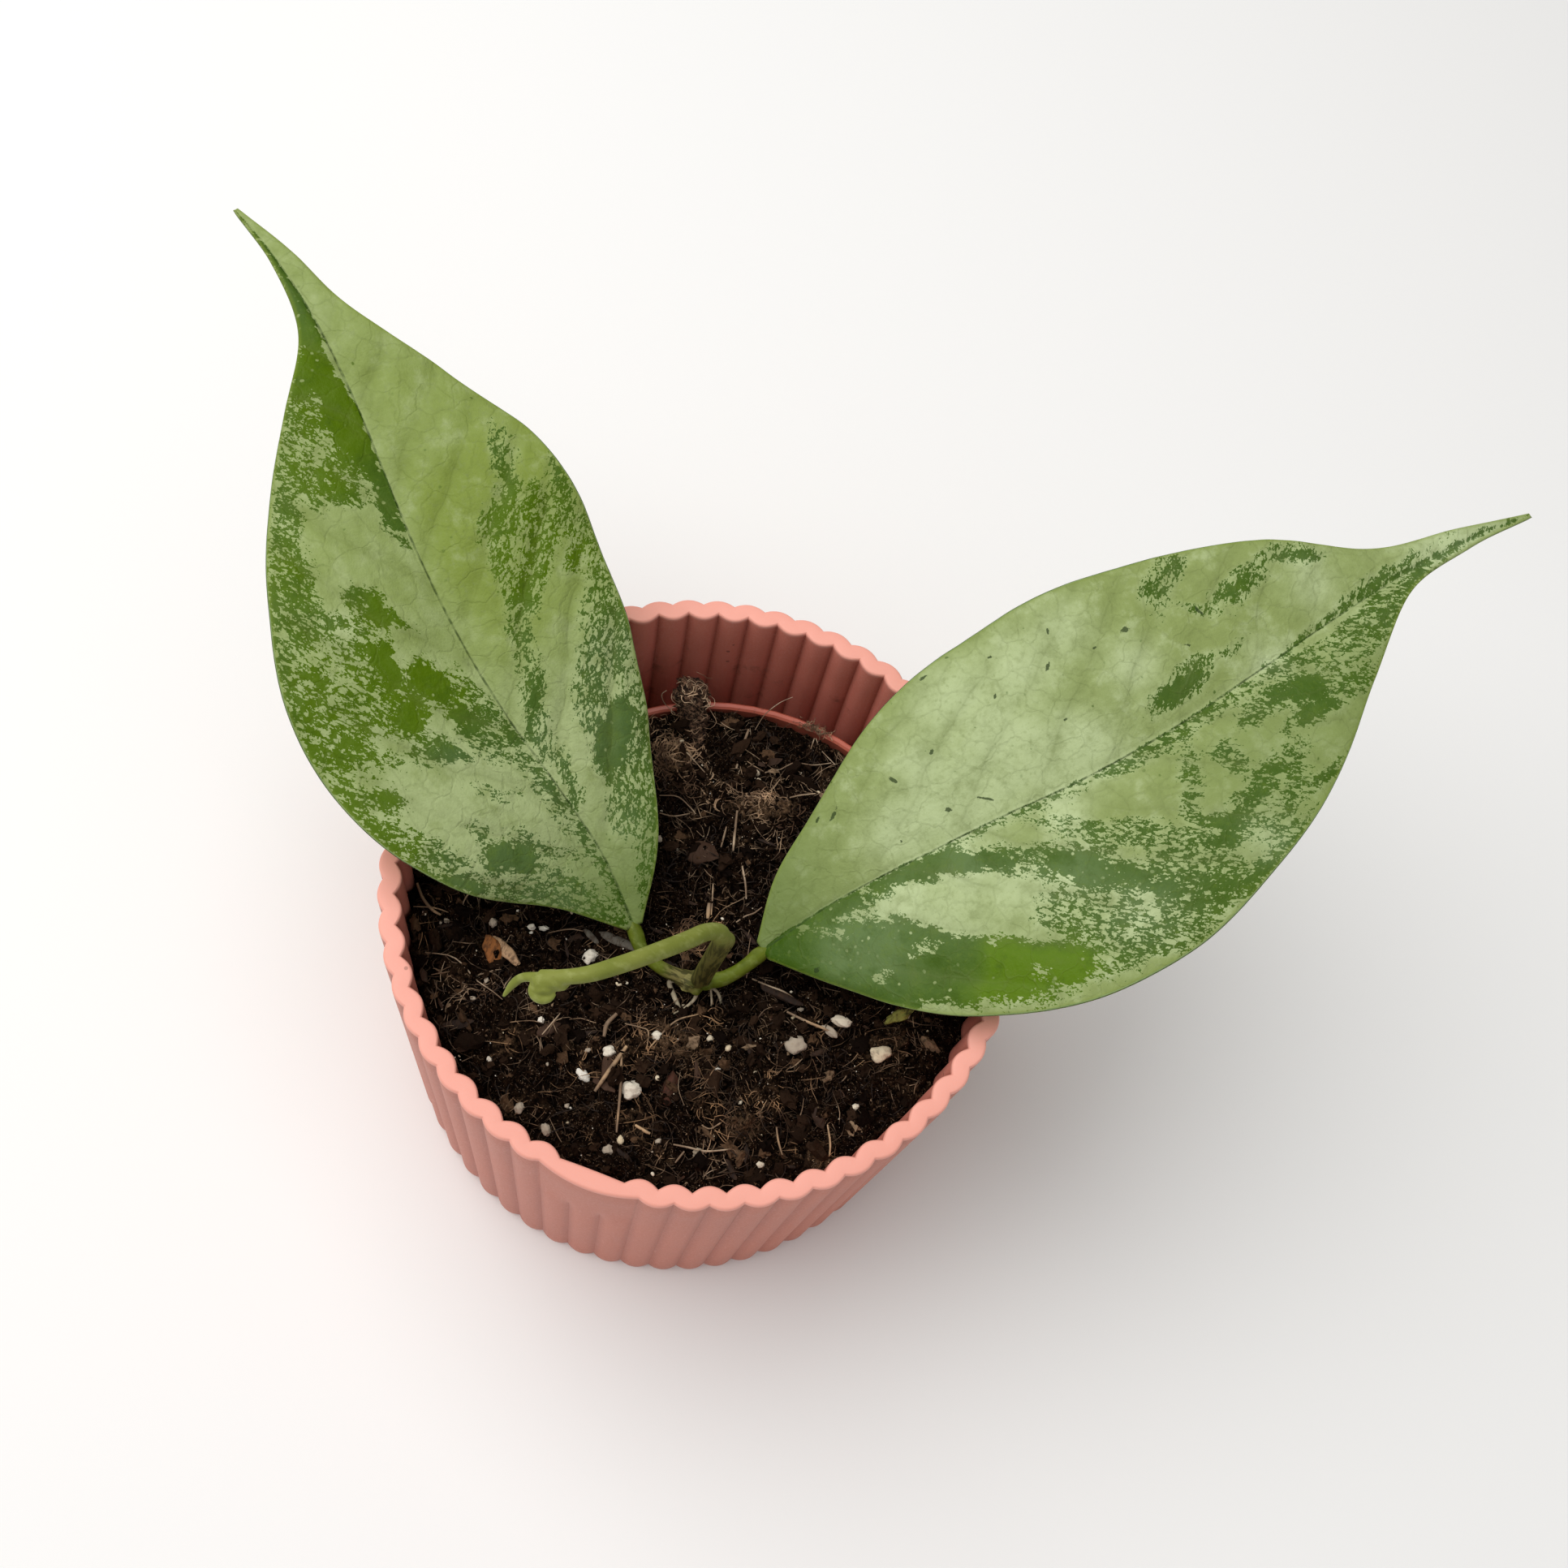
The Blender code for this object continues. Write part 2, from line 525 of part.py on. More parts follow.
def leaf_blade(name, leaf, collection, material):
    bm = bmesh.new()
    bmesh.ops.create_grid(bm, x_segments=LEAF_COLUMNS, y_segments=LEAF_ROWS, size=1)
    for vert in bm.verts:
        t = (vert.co.y + 1) / 2
        s = mix(t, 0.5 - 0.5 * math.cos(math.pi * t), 0.55)
        vert.co = leaf_point(leaf, s, -vert.co.x)
    bmesh.ops.triangulate(bm, faces=bm.faces)
    blade = new_object(name, mesh_from(bm, name), collection, material)
    if sum(face.normal.z for face in blade.data.polygons) < 0:
        blade.data.flip_normals()
    skin = blade.modifiers.new("thickness", "SOLIDIFY")
    skin.thickness = LEAF_THICKNESS * MM
    skin.offset = -1
    bake_modifiers(blade)
    return blade


def build():
    clear_scene()
    parts = add_collection(TOP_COLLECTION)
    add_collection(CUTTER_COLLECTION).hide_render = True
    cover_pot(parts)
    nursery_pot(parts)
    potting_mix(parts)
    hoya_stem(parts)
    new_shoot(parts)
    leaf_blade("leaf_left", LEAF_LEFT, parts, make_material("leaf_silver_green", (0.3, 0.42, 0.16), 0.4))
    leaf_blade("leaf_right", LEAF_RIGHT, parts, make_material("leaf_sage_green", (0.36, 0.46, 0.24), 0.4))


build()
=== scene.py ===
"""Potted hoya, dressed for a render: a fluted cover pot, the nursery pot in it, loose
potting mix, the rooted cutting, its two silver-splashed leaves and a new shoot.

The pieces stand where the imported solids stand, but for these: the mix lies higher at the
back, reaches up to about 10 mm further out and closes round the stem, the roots take other
routes, the petioles end differently, and the shoot starts about 2 mm lower. Lengths in the
tables are in millimetres, and MM turns them into metres."""

import math
import random

import bmesh
import bpy
import numpy as np
from mathutils import Matrix, Vector, noise


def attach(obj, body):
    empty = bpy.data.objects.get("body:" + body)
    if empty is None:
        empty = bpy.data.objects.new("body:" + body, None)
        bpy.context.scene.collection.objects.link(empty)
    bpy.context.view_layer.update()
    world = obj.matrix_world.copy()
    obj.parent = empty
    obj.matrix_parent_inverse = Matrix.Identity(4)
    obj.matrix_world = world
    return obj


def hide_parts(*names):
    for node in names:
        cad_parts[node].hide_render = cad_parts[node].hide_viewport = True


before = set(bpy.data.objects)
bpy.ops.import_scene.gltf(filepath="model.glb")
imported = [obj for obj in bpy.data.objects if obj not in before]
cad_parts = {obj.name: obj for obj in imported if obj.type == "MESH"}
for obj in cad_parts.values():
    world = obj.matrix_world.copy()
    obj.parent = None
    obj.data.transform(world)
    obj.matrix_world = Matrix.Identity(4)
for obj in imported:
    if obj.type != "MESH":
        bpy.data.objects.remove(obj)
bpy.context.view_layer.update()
MM = 0.001
BODY = "root"
noise.seed_set(26)     # else noise_vector, which the splashes use, would differ in each run

# Cover pot, as in the part's source but with finer steps
POT_HEIGHT, PEAK_RADIUS, CUSP_RADIUS = 88.0, 60.0, 56.9
NOTCH_DEPTH, INNER_BUMP, POT_DRAFT = 0.95, 1.3, 0.012
POT_FLOOR, POT_CORNER, RIM_ROUND, FLOOR_ROUND = 3.5, 2.6, 0.6, 2.5
FLUTES, STEPS_PER_FLUTE = 60, 12
PAD_AZIMUTH, PAD_HALF_OUT, PAD_HALF_IN = -90.0, 9.0, 6.0
PAD_LOW, PAD_HIGH = 56.0, 68.0

# The nursery pot's centre and top, as in the part's source, and the mix about it
CENTRE = (4.3, -2.4)
NURSERY_TOP = 72.0
SOIL_CROWN, SOIL_BACK_DROP, SOIL_BACK_AZIMUTH = 72.5, 1.2, 96.0
CLOD_SINK = 2.0       # how far the clods are sunk
MIX_SPAN = 50.4       # radius of the rings that become the top of the mix
RING_MARK = 100.0     # those rings carry their own number above this as a height at first
BACK_EDGE, BACK_REACH = 47.15, 46.9     # where the mix ends at the back, and its loose pieces
WALL_GAP = 0.15       # between the mix and the cover pot
HEAPS = [   # coir clumps: x, y, half lengths, turn in degrees, how far their middle is sunk
    (-16.2, 27.5, 5.2, 4.0, 3.2, 65, 0.5),
    (4.2, 24.6, 9.5, 3.4, 2.8, 22, 0.5),
    (4.0, -26.5, 7.5, 4.0, 2.4, 5, 0.5),
    (1.0, -6.0, 4.2, 3.2, 3.2, 20, 0.45),
    (22.0, -37.0, 4.5, 3.4, 2.2, 30, 0.5),
]
# Tangles of coir: x, y, spread along x and y, threads, size of their loops, how upright these are
TANGLES = [
    (-16.6, 28.8, 2.3, 3.1, 330, 1.6, 0.9), (-12.4, 24.8, 2.2, 1.2, 110, 1.3, 0.9),
    (4.0, 24.6, 5.4, 1.6, 250, 1.3, 0.9), (0.8, -6.0, 2.2, 1.8, 110, 1.4, 0.9),
    (3.0, -27.5, 6.0, 3.2, 120, 2.4, 0.5), (21.0, -36.0, 3.4, 2.6, 60, 2.4, 0.5),
    (-33.0, -30.0, 2.0, 1.8, 36, 1.8, 0.5), (24.0, -24.0, 4.0, 2.5, 34, 2.2, 0.5),
]
HEAP_SPINE = [(-13.6, 32.4, 71.8), (-15.6, 37.2, 74.8), (-17.6, 40.9, 78.0)]   # the heap on the back rim

# The cutting. The node and the first four points of each petiole are as in the part's source.
# The petioles end differently, the roots are other ones, and the shoot starts about 2 mm lower.
NODE = (4.2, -14.8, 76.4)
PETIOLES = [
    [(3.6, -14.8, 76.3), (-0.3, -15.4, 77.2), (-3.9, -15.2, 78.7), (-7.0, -14.0, 79.8),
     (-9.3, -11.4, 79.8), (-11.4, -9.2, 80.2)],
    [(4.9, -14.4, 76.3), (8.3, -13.3, 77.0), (10.7, -11.3, 78.2), (12.5, -9.0, 79.3),
     (13.8, -6.6, 79.2), (15.4, -4.4, 79.6)],
]
ROOTS = [
    [(2.2, -15.4, 75.9), (-0.2, -16.4, 74.9), (1.6, -18.6, 74.4), (3.2, -20.2, 73.6), (3.4, -20.6, 70.5)],
    [(4.9, -15.4, 75.6), (5.4, -17.4, 74.6), (4.4, -19.6, 74.0), (2.6, -21.7, 73.6), (2.2, -22.2, 71.0)],
    [(6.6, -14.6, 75.6), (8.8, -14.9, 74.8), (10.2, -16.1, 73.6), (10.6, -16.6, 70.5)],
    [(6.2, -13.4, 77.6), (7.4, -14.9, 76.0), (8.6, -17.0, 74.0), (8.7, -17.2, 71.0)],
    [(5.3, -13.8, 75.4), (7.6, -13.3, 72.6), (8.6, -13.0, 70.0)],
]
SHOOT = [(4.7, -14.9, 76.5), (5.6, -16.2, 92.0), (6.5, -17.4, 106.0), (7.0, -18.4, 116.0),
         (6.3, -19.3, 121.2), (4.4, -21.2, 124.2), (2.5, -24.0, 126.5), (-0.4, -27.7, 129.0),
         (-3.3, -31.1, 131.0), (-6.2, -34.1, 132.3), (-9.8, -37.2, 133.0), (-13.6, -39.0, 132.4),
         (-16.6, -39.8, 131.4)]
SHOOT_TIP = [(-16.0, -39.8, 131.5), (-19.0, -40.4, 130.0), (-20.3, -41.6, 128.6), (-21.1, -43.6, 127.0)]

# Leaves, as in the part's source but for their left margins, moved by up to 0.9 mm, and finer rows
STATIONS = [0, 0.05, 0.1, 0.2, 0.3, 0.4, 0.5, 0.6, 0.7, 0.8, 0.9, 1]
LEAF_LEFT = {
    "midrib": [(-9.8, -10.7, 81.0), (-20.6, -1.3, 87.8), (-33.1, 5.9, 94.3), (-46.0, 13.0, 100.3),
               (-58.3, 21.5, 105.9), (-69.9, 31.2, 110.8), (-80.9, 42.0, 114.9), (-91.9, 53.0, 118.3),
               (-103.7, 63.5, 120.7), (-116.3, 73.1, 121.4), (-129.5, 81.9, 120.0)],
    "left": [1.6, 10.3, 19.2, 29.6, 34.2, 33.8, 28.4, 21.8, 13.2, 3.9, 1.2, 0.4],
    "right": [1.6, 7.2, 12.4, 22.4, 28.2, 30.7, 31.4, 27.4, 17.0, 7.0, 3.6, 0.5],
}
LEAF_RIGHT = {
    "midrib": [(14.0, -6.0, 80.4), (23.9, 6.3, 87.5), (35.5, 17.6, 94.4), (47.5, 28.9, 100.7),
               (59.8, 40.3, 106.3), (71.0, 52.9, 111.2), (81.3, 66.7, 115.2), (91.4, 80.8, 118.4),
               (101.9, 94.8, 120.7), (113.2, 108.2, 121.3), (125.2, 121.0, 120.0)],
    "left": [1.9, 9.3, 14.8, 25.8, 32.4, 34.6, 33.2, 28.5, 19.8, 7.6, 3.2, 0.5],
    "right": [1.9, 14.0, 23.0, 33.2, 38.5, 37.4, 31.7, 24.4, 14.0, 3.8, 1.4, 0.4],
}
LEAF_FOLD, LEAF_RECURVE, LEAF_WAVE, LEAF_THICKNESS = math.radians(16), 0.62, 0.9, 1.1
LEAF_ROWS, LEAF_COLUMNS = 290, 104
# Side nerves: from one to the next, their lean and bend, and the left side's shift
NERVE_GAP, NERVE_LEAN, NERVE_BEND, NERVE_SHIFT = 15.5, 1.1, 0.009, 5
# Green splashes: along the midrib, across it (left is +), half length, half width, turn in
# degrees, and how far the patch breaks up into speckle
SPLASH_LEFT = [
    (95, 1.8, 12, 1.8, 2, 0.2), (108, 4, 12, 4, 0, 0.25), (117, 5.6, 8, 4, -20, 0.25),
    (128, 2.4, 10, 2.2, -12, 0.3), (141, 0.5, 12, 0.7, 0, 0.5), (97, 10.5, 4, 3.6, 30, 0.55),
    (99, 14.5, 5.5, 1.5, 8, 0.3), (94.5, 9, 1.6, 4, 0, 0.6), (106, 8, 6, 3.6, -15, 0.8),
    (113, 10.5, 5.5, 2.4, -25, 0.8), (80, 24, 8.5, 4, -20, 0.75), (87, 21, 6, 2, -8, 0.7),
    (75, 25.5, 4, 5, 0, 0.85), (72, 30, 7, 2, -20, 0.85), (92, 20, 7, 1.8, -32, 0.9),
    (100, 17, 7, 1.6, -32, 0.97), (55.5, 15.5, 3.4, 3, 0, 0.3), (57, 9.5, 5.6, 3, 20, 0.25),
    (63.5, 15, 6, 2.6, -10, 0.25), (50, 6.5, 4.4, 2.5, 30, 0.5), (54, 26, 2.4, 5.4, 0, 0.6),
    (58, 31.5, 7, 2, 0, 0.75), (66, 27, 2.6, 2, 20, 0.4), (65, 31.5, 5, 2, -8, 0.75),
    (60, 21, 8.5, 6.5, 0, 0.98), (60, 27, 8, 6, 0, 1.0), (73, 11.5, 5.6, 1.9, 34, 0.15),
    (72, 18, 5, 2.5, 55, 0.85), (47, 13, 4.8, 1.6, 45, 0.35), (50, 17, 2, 3.4, -30, 0.75),
    (40, 31, 7, 1.6, 15, 0.65), (47.5, 32, 6, 2, 5, 0.65), (45.5, 27.5, 1.8, 3, -25, 0.55),
    (27, 25, 4.5, 1.9, 45, 0.4), (33, 28, 6.5, 2.2, 45, 0.9), (38.5, 29, 4, 1.5, 30, 0.85),
    (25, 15.3, 6.4, 3.0, 36, 0.1), (12, 12, 9, 4.6, 42, 0.98), (16, 17, 6, 2.6, 42, 0.93),
    (6, 5, 6.5, 1.8, 42, 0.97), (28, 1.5, 10, 0.8, 4, 0.92), (40, 1.2, 7, 0.8, 0, 0.92),
    (44, 4, 3.4, 1.4, 40, 0.92), (37, 2.2, 4, 1, 25, 0.9), (24, 10, 4.6, 1.1, 40, 0.8),
    (52, 4, 5, 2.6, 20, 0.95), (36, 11, 1.6, 0.5, 40, 0.6), (33, 17.5, 1.1, 0.9, 0, 0.5),
    (14, 1.2, 8, 0.5, 6, 0.95), (8, 8, 6, 1.4, 46, 0.95), (46, -5, 6.2, 1.5, -38, 0.25),
    (57.5, -9.5, 4.4, 1.2, -22, 0.7), (65, -14, 6.4, 2.2, -38, 0.5), (70.5, -18, 3.4, 1.4, -40, 0.5),
    (73, -13, 4.4, 1, -10, 0.85), (80, -16.5, 6.4, 2.8, -30, 0.75), (85, -20, 7.4, 1.4, -15, 0.6),
    (91.5, -21, 3, 0.6, 0, 0.6), (77, -22, 5, 2.4, -20, 0.85), (73, -20, 2.2, 1.8, 0, 0.85),
    (67, -26, 2.8, 1.6, -45, 0.2), (65, -30, 8, 1.3, 0, 0.97), (75, -28, 5, 0.9, -5, 0.9),
    (83, -29, 6.5, 1.9, -18, 0.92), (32.5, -14, 6.8, 3.9, -45, 0.1), (24, -12, 9, 4.2, -36, 0.93),
    (25, -9, 2.8, 1.4, -20, 0.4), (30, -19, 8.5, 3.6, -35, 0.97), (43, -16.5, 8, 1.9, -35, 0.93),
    (49.5, -20, 5.6, 1.9, -25, 0.93), (47, -24.5, 8.5, 2.8, -18, 0.85), (44, -24, 4, 1.5, -10, 0.5),
    (15, -11, 9, 1.7, -38, 0.97), (56, -26, 5, 2, -20, 0.95), (29, -1.6, 4.4, 0.6, -20, 0.85),
    (34, -3, 3.4, 0.5, -20, 0.9), (39, -1.6, 3.4, 0.8, 0, 0.9), (70, -21, 8, 0.7, -40, 0.8),
]
SPLASH_RIGHT = [
    (93.4, 5.3, 6.4, 1.9, 9, 0.3), (103.5, 24.5, 4.6, 1.2, 42, 0.7), (107, 26.5, 1.0, 1.2, 0, 0.6),
    (99.5, 24.2, 1.7, 0.9, 25, 0.4), (114.6, 15, 4.2, 2.1, 0, 0.6), (127.4, 13, 3.6, 1.6, -25, 0.4),
    (123.5, 16, 2.6, 0.6, -10, 0.6), (101, 6.8, 2.6, 0.5, -8, 0.5), (105, 15.4, 1.8, 0.5, -40, 0.6),
    (120, 0.4, 6, 0.4, 3, 0.6), (136, 1.2, 9, 0.5, 4, 0.6), (150, 0.4, 19, 0.4, 0, 0.5),
    (9, -6.5, 13, 7, -40, 0.05), (15, -16, 12, 8, -48, 0.05), (24, -16.5, 15, 7.8, -38, 0.05),
    (36, -24, 15, 6.6, -32, 0.05), (47, -28.6, 10.5, 4.0, -26, 0.2), (56, -32, 6, 2.8, -20, 0.4),
    (17, -2.0, 8, 2.0, -8, 0.3), (40, -4.7, 12, 2.9, -20, 0.15), (30, -1.8, 8, 1.4, -8, 0.5),
    (49, -8.4, 4.4, 2, -38, 0.4), (55, -9.8, 6, 1.3, -20, 0.6), (60, -15.2, 8.6, 3.9, -40, 0.35),
    (68, -22, 8, 2.7, -48, 0.55), (75, -29, 9, 3.2, -22, 0.55), (63.5, -13.6, 4, 2.4, -30, 0.8),
    (60, -25, 9, 6, -30, 0.98), (66, -31, 9, 4.4, -10, 0.97), (76, -24, 6, 5, -30, 0.97),
    (70, -13, 9, 1.3, -36, 0.97), (85, -20.6, 5, 2.2, -30, 0.45), (83, -22.6, 4.4, 1.8, 5, 0.5),
    (95, -17.3, 6, 1.4, 6, 0.5), (91, -19.5, 4, 1.4, 20, 0.6), (99, -19, 2, 2.6, 0, 0.8),
    (94, -23.5, 5, 1.2, 30, 0.95), (104, -23.2, 4.8, 0.8, 4, 0.5), (108, -6.4, 7, 2.0, -6, 0.5),
    (112, -8, 3.8, 3.8, 0, 0.35), (109.5, -12.6, 5.2, 2.0, 4, 0.3), (102, -6, 3, 1.2, 0, 0.75),
    (117, -11.4, 5, 1.5, -8, 0.93), (118, -7.6, 5, 0.8, -10, 0.85), (127, -5, 5, 1.2, 8, 0.85),
    (133, -4.8, 5.4, 1.7, 28, 0.6), (141, -2.4, 8, 1.1, 14, 0.75), (131, -2, 9, 0.9, 8, 0.9),
    (146, -0.8, 9, 0.6, 4, 0.85), (92, -11.2, 1.9, 2.8, 0, 0.9), (84, -10.5, 4, 0.8, 60, 0.97),
    (30, -0.8, 14, 0.7, 0, 0.8), (55, -0.6, 20, 0.45, 0, 0.9), (88, -1.1, 12, 1.0, 0, 0.95),
    (106, -1.4, 8, 0.8, -5, 0.93), (80, -31.8, 10, 1.6, 12, 0.5), (87, -29.6, 6, 1.2, 14, 0.7),
]
# Silver flakes that lie in the green, in the same terms
FLAKES_LEFT = [(104, 9.2, 3, 1.5, -20, 0.5), (101, 12.6, 3, 0.9, 10, 0.5), (66, 22.5, 4, 2, 10, 0.6),
               (70, 20, 2, 4, 0, 0.6), (112, 7, 1.5, 0.8, 0, 0.7), (52.5, 21, 2, 4, 0, 0.5)]
FLAKES_RIGHT = [
    (12.6, -4.8, 3.4, 0.7, -52, 0.1), (18, -17, 1.5, 0.9, 20, 0.5), (29, -16.8, 1.6, 0.8, 0, 0.8),
    (41.4, -20.8, 1.3, 0.8, -20, 0.3), (9.4, -1.2, 1.6, 0.4, -30, 0.8), (67, -27, 1.3, 3.8, 8, 0.3),
    (57.5, -33, 1.8, 1.5, 30, 0.5), (45, -29.6, 1.2, 1.0, 0, 0.6), (40, -33.6, 9, 1.3, -12, 0.4),
    (50, -36, 6, 1.4, -10, 0.5),
]
# Painted sheen, which greys the green and whitens the silver: along, across, reach
SHEEN_LEFT = [
    (25, 15, 8), (33, -14, 8), (12, 12, 9), (46, -22, 7), (30, 6, 9), (40, 22, 9), (18, -5, 6), (72, 19, 4),
    (42, 12, 6), (38, -6, 6), (24, 26, 6),
]
SHEEN_RIGHT = [
    (22, -12, 8), (14, -9, 6), (32, 6, 6), (44, 6, 8), (50, 6, 6), (62, 6, 7), (72, 5, 7), (52, 24, 7),
    (66, 24, 8), (80, 26, 6), (88, 13, 5), (38, -11, 6), (49, -15, 6), (29, -6, 4), (62, -5, 4), (66, -27, 6),
    (60, -16, 5), (156, 2.5, 12), (110, 1, 4), (42, 15, 5), (58, 14, 5), (88, -27, 4), (42, -5, 4),
    (126, 8, 5),
]
# Young yellow-green, in the same terms
FRESH_LEFT = [
    (59, 14, 8), (66, 19, 8), (56, 8, 6), (61, 27, 9), (72, 11, 6), (70, -16, 9), (80, -20, 8), (108, 4, 10),
    (50, 30, 8), (98, 12, 7), (67, -26, 6), (120, 4, 8), (84, 24, 8), (40, 31, 7),
]
FRESH_RIGHT = [(35, -29, 4), (41, -29, 5), (47, -30, 5), (53, -32, 4), (41, -22, 4)]
# Dark nicks: along, across, half length, half width, turn
TICKS_RIGHT = [
    (21, 15, 0.8, 0.3, 30), (24, 14.3, 1.3, 0.35, 40), (36.8, 14.6, 0.9, 0.35, 110),
    (25.4, 20.8, 0.25, 1.0, 0), (26.1, 20.8, 0.2, 0.8, 0), (50, 30.2, 0.8, 0.3, 10),
    (62.6, 28.2, 0.4, 0.3, 0), (76.6, 27.3, 0.25, 0.8, -20), (72.6, 21.2, 1.1, 0.3, 35),
    (83, 20, 0.5, 0.25, 20), (90.2, 20, 0.9, 0.5, 0), (104.6, 15.4, 0.3, 1.1, 15), (70.4, 11, 0.4, 0.25, 0),
    (45.4, 16.4, 0.5, 0.35, 40), (43.4, 5.3, 0.5, 0.4, 0), (50.4, 4.2, 1.3, 0.2, -35),
    (99, 11, 0.7, 0.3, -30), (7, -9.2, 0.6, 0.4, 0), (60, 20.6, 0.5, 0.25, 60), (33, 4, 0.3, 0.3, 0),
]

# The photograph's camera, in metres, and the light in watts
CAMERA_PLACE, CAMERA_LENS = (0.01354, -0.11001, 0.38971), 39.5637
CAMERA_RIGHT, CAMERA_AHEAD = (0.9354, 0.3303, 0.1261), (-0.0206, 0.4069, -0.9132)
KEY_WATTS, FILL_WATTS, ROOM_STRENGTH = 15.8, 1.2, 0.26


# Shader maths written as Python

class Value:
    """A number on a shader's wire. Arithmetic on it adds Math nodes."""

    def __init__(self, tree, socket):
        self.tree, self.socket = tree, socket

    def math(self, operation, *items, clamp=False):
        node = self.tree.nodes.new("ShaderNodeMath")
        node.operation = operation
        node.use_clamp = clamp
        for place, item in zip(node.inputs, items):
            if isinstance(item, Value):
                self.tree.links.new(item.socket, place)
            else:
                place.default_value = item
        return Value(self.tree, node.outputs[0])

    def __add__(self, other):
        return self.math("ADD", self, other)

    def __sub__(self, other):
        return self.math("SUBTRACT", self, other)

    def __mul__(self, other):
        return self.math("MULTIPLY", self, other)

    def __truediv__(self, other):
        return self.math("DIVIDE", self, other)

    def __radd__(self, other):
        return self.math("ADD", other, self)

    def __rsub__(self, other):
        return self.math("SUBTRACT", other, self)

    def __rmul__(self, other):
        return self.math("MULTIPLY", other, self)

    def size(self):
        return self.math("ABSOLUTE", self)

    def part(self):
        return self.math("FRACT", self)

    def limited(self):
        return self.math("ADD", self, 0.0, clamp=True)

    def most(self, other):
        return self.math("MAXIMUM", self, other)

    def above(self, low, high):
        """0 below low, 1 above high, and a smooth step between."""
        node = self.tree.nodes.new("ShaderNodeMapRange")
        node.interpolation_type = "SMOOTHSTEP"
        self.tree.links.new(self.socket, node.inputs["Value"])
        node.inputs["From Min"].default_value = low
        node.inputs["From Max"].default_value = high
        return Value(self.tree, node.outputs["Result"])


class Finish:
    """A material: its shader, and the ways to add nodes to it."""

    def __init__(self, name, roughness, specular):
        self.material = bpy.data.materials.new(name)
        self.material.use_nodes = True
        self.tree = self.material.node_tree
        self.shader = self.tree.nodes["Principled BSDF"]
        self.shader.inputs["Roughness"].default_value = roughness
        self.shader.inputs["Specular IOR Level"].default_value = specular

    def node(self, kind, settings=None, inputs=None, out=0):
        """Add a node: its settings first, then its sockets' values or wires."""
        node = self.tree.nodes.new("ShaderNode" + kind)
        for key, value in (settings or {}).items():
            setattr(node, key, value)
        for key, value in (inputs or {}).items():
            self.plug(node.inputs[key], value)
        return node.outputs[out]

    def plug(self, socket, value):
        if isinstance(value, Value):
            value = value.socket
        if isinstance(value, bpy.types.NodeSocket):
            self.tree.links.new(value, socket)
        elif isinstance(value, tuple) and len(value) == 3 and socket.type == "RGBA":
            socket.default_value = (*value, 1)
        else:
            socket.default_value = value

    def set(self, **sockets):
        for name, value in sockets.items():
            self.plug(self.shader.inputs[name.replace("_", " ").title()], value)

    def value(self, kind, settings=None, inputs=None, out=0):
        return Value(self.tree, self.node(kind, settings, inputs, out))

    def place(self):
        return self.node("TexCoord", out="Object")

    def flat_place(self):
        return self.node("UVMap")

    def axis(self, vector, name):
        return self.value("SeparateXYZ", inputs={"Vector": vector}, out=name)

    def mark(self, name):
        """A number stored on the piece's points."""
        return self.value("Attribute", {"attribute_name": name}, out="Fac")

    def noise(self, vector, per_metre, detail=3.0, rough=0.55, warp=0.0):
        return self.value("TexNoise", inputs={"Vector": vector, "Scale": per_metre, "Detail": detail,
                                              "Roughness": rough, "Distortion": warp}, out="Fac")

    def cells(self, vector, per_metre, feature="F1", out="Distance"):
        return self.value("TexVoronoi", {"feature": feature},
                          {"Vector": vector, "Scale": per_metre}, out=out)

    def dots(self, vector, per_metre, size, least):
        """Round specks, in those cells of a random pattern whose own number is over least."""
        pattern = {"Vector": vector, "Scale": per_metre}
        far = self.value("TexVoronoi", inputs=pattern, out="Distance")
        pick = self.value("TexVoronoi", inputs=pattern, out="Color")
        return (1 - far.above(size * 0.75, size * 1.25)) * pick.above(least, least + 0.02)

    def warped(self, vector, per_metre, reach):
        """The same places, pushed about by a noise."""
        push = self.node("TexNoise", inputs={"Vector": vector, "Scale": per_metre, "Detail": 3.0}, out="Color")
        return self.node("VectorMath", {"operation": "MULTIPLY_ADD"}, {0: push, 1: (reach,) * 3, 2: vector})

    def mix(self, factor, first, second):
        return self.node("Mix", {"data_type": "RGBA"}, {0: factor, 6: first, 7: second}, out=2)

    def stretched(self, vector, scale):
        return self.node("Mapping", inputs={"Vector": vector, "Scale": scale})

    def coats(self, base, *pairs):
        """Lay colours over a base, one after another: pairs of a factor and a colour."""
        for factor, colour in pairs:
            base = self.mix(factor, base, colour)
        return base

    def done(self, colour, roughness, height, depth, strength):
        """Plug in the colour, the roughness and the bump of a height (0 to 1) over a depth in metres."""
        bump = self.node("Bump", inputs={"Strength": strength, "Distance": depth, "Height": height})
        self.set(Base_Color=colour, Roughness=roughness, Normal=bump)
        return self


def shaded(colour, share):
    return tuple(part * share for part in colour)


# Curves and numbers

def smooth_step(low, high, value):
    t = min(max((value - low) / (high - low), 0.0), 1.0)
    return t * t * (3 - 2 * t)


def mix(a, b, t):
    return a + (b - a) * t


def curve_through(stations, values, where):
    """A smooth curve through values at stations: a cubic between each two of them."""
    last = len(stations) - 1
    i = max(k for k in range(last) if stations[k] <= where or k == 0)

    def slope(k):
        low, high = max(k - 1, 0), min(k + 1, last)
        return (values[high] - values[low]) * (1 / (stations[high] - stations[low]))

    span = stations[i + 1] - stations[i]
    t = (where - stations[i]) / span
    return (values[i] * ((1 + 2 * t) * (1 - t) ** 2) + slope(i) * (span * t * (1 - t) ** 2)
            + values[i + 1] * (t * t * (3 - 2 * t)) + slope(i + 1) * (span * t * t * (t - 1)))


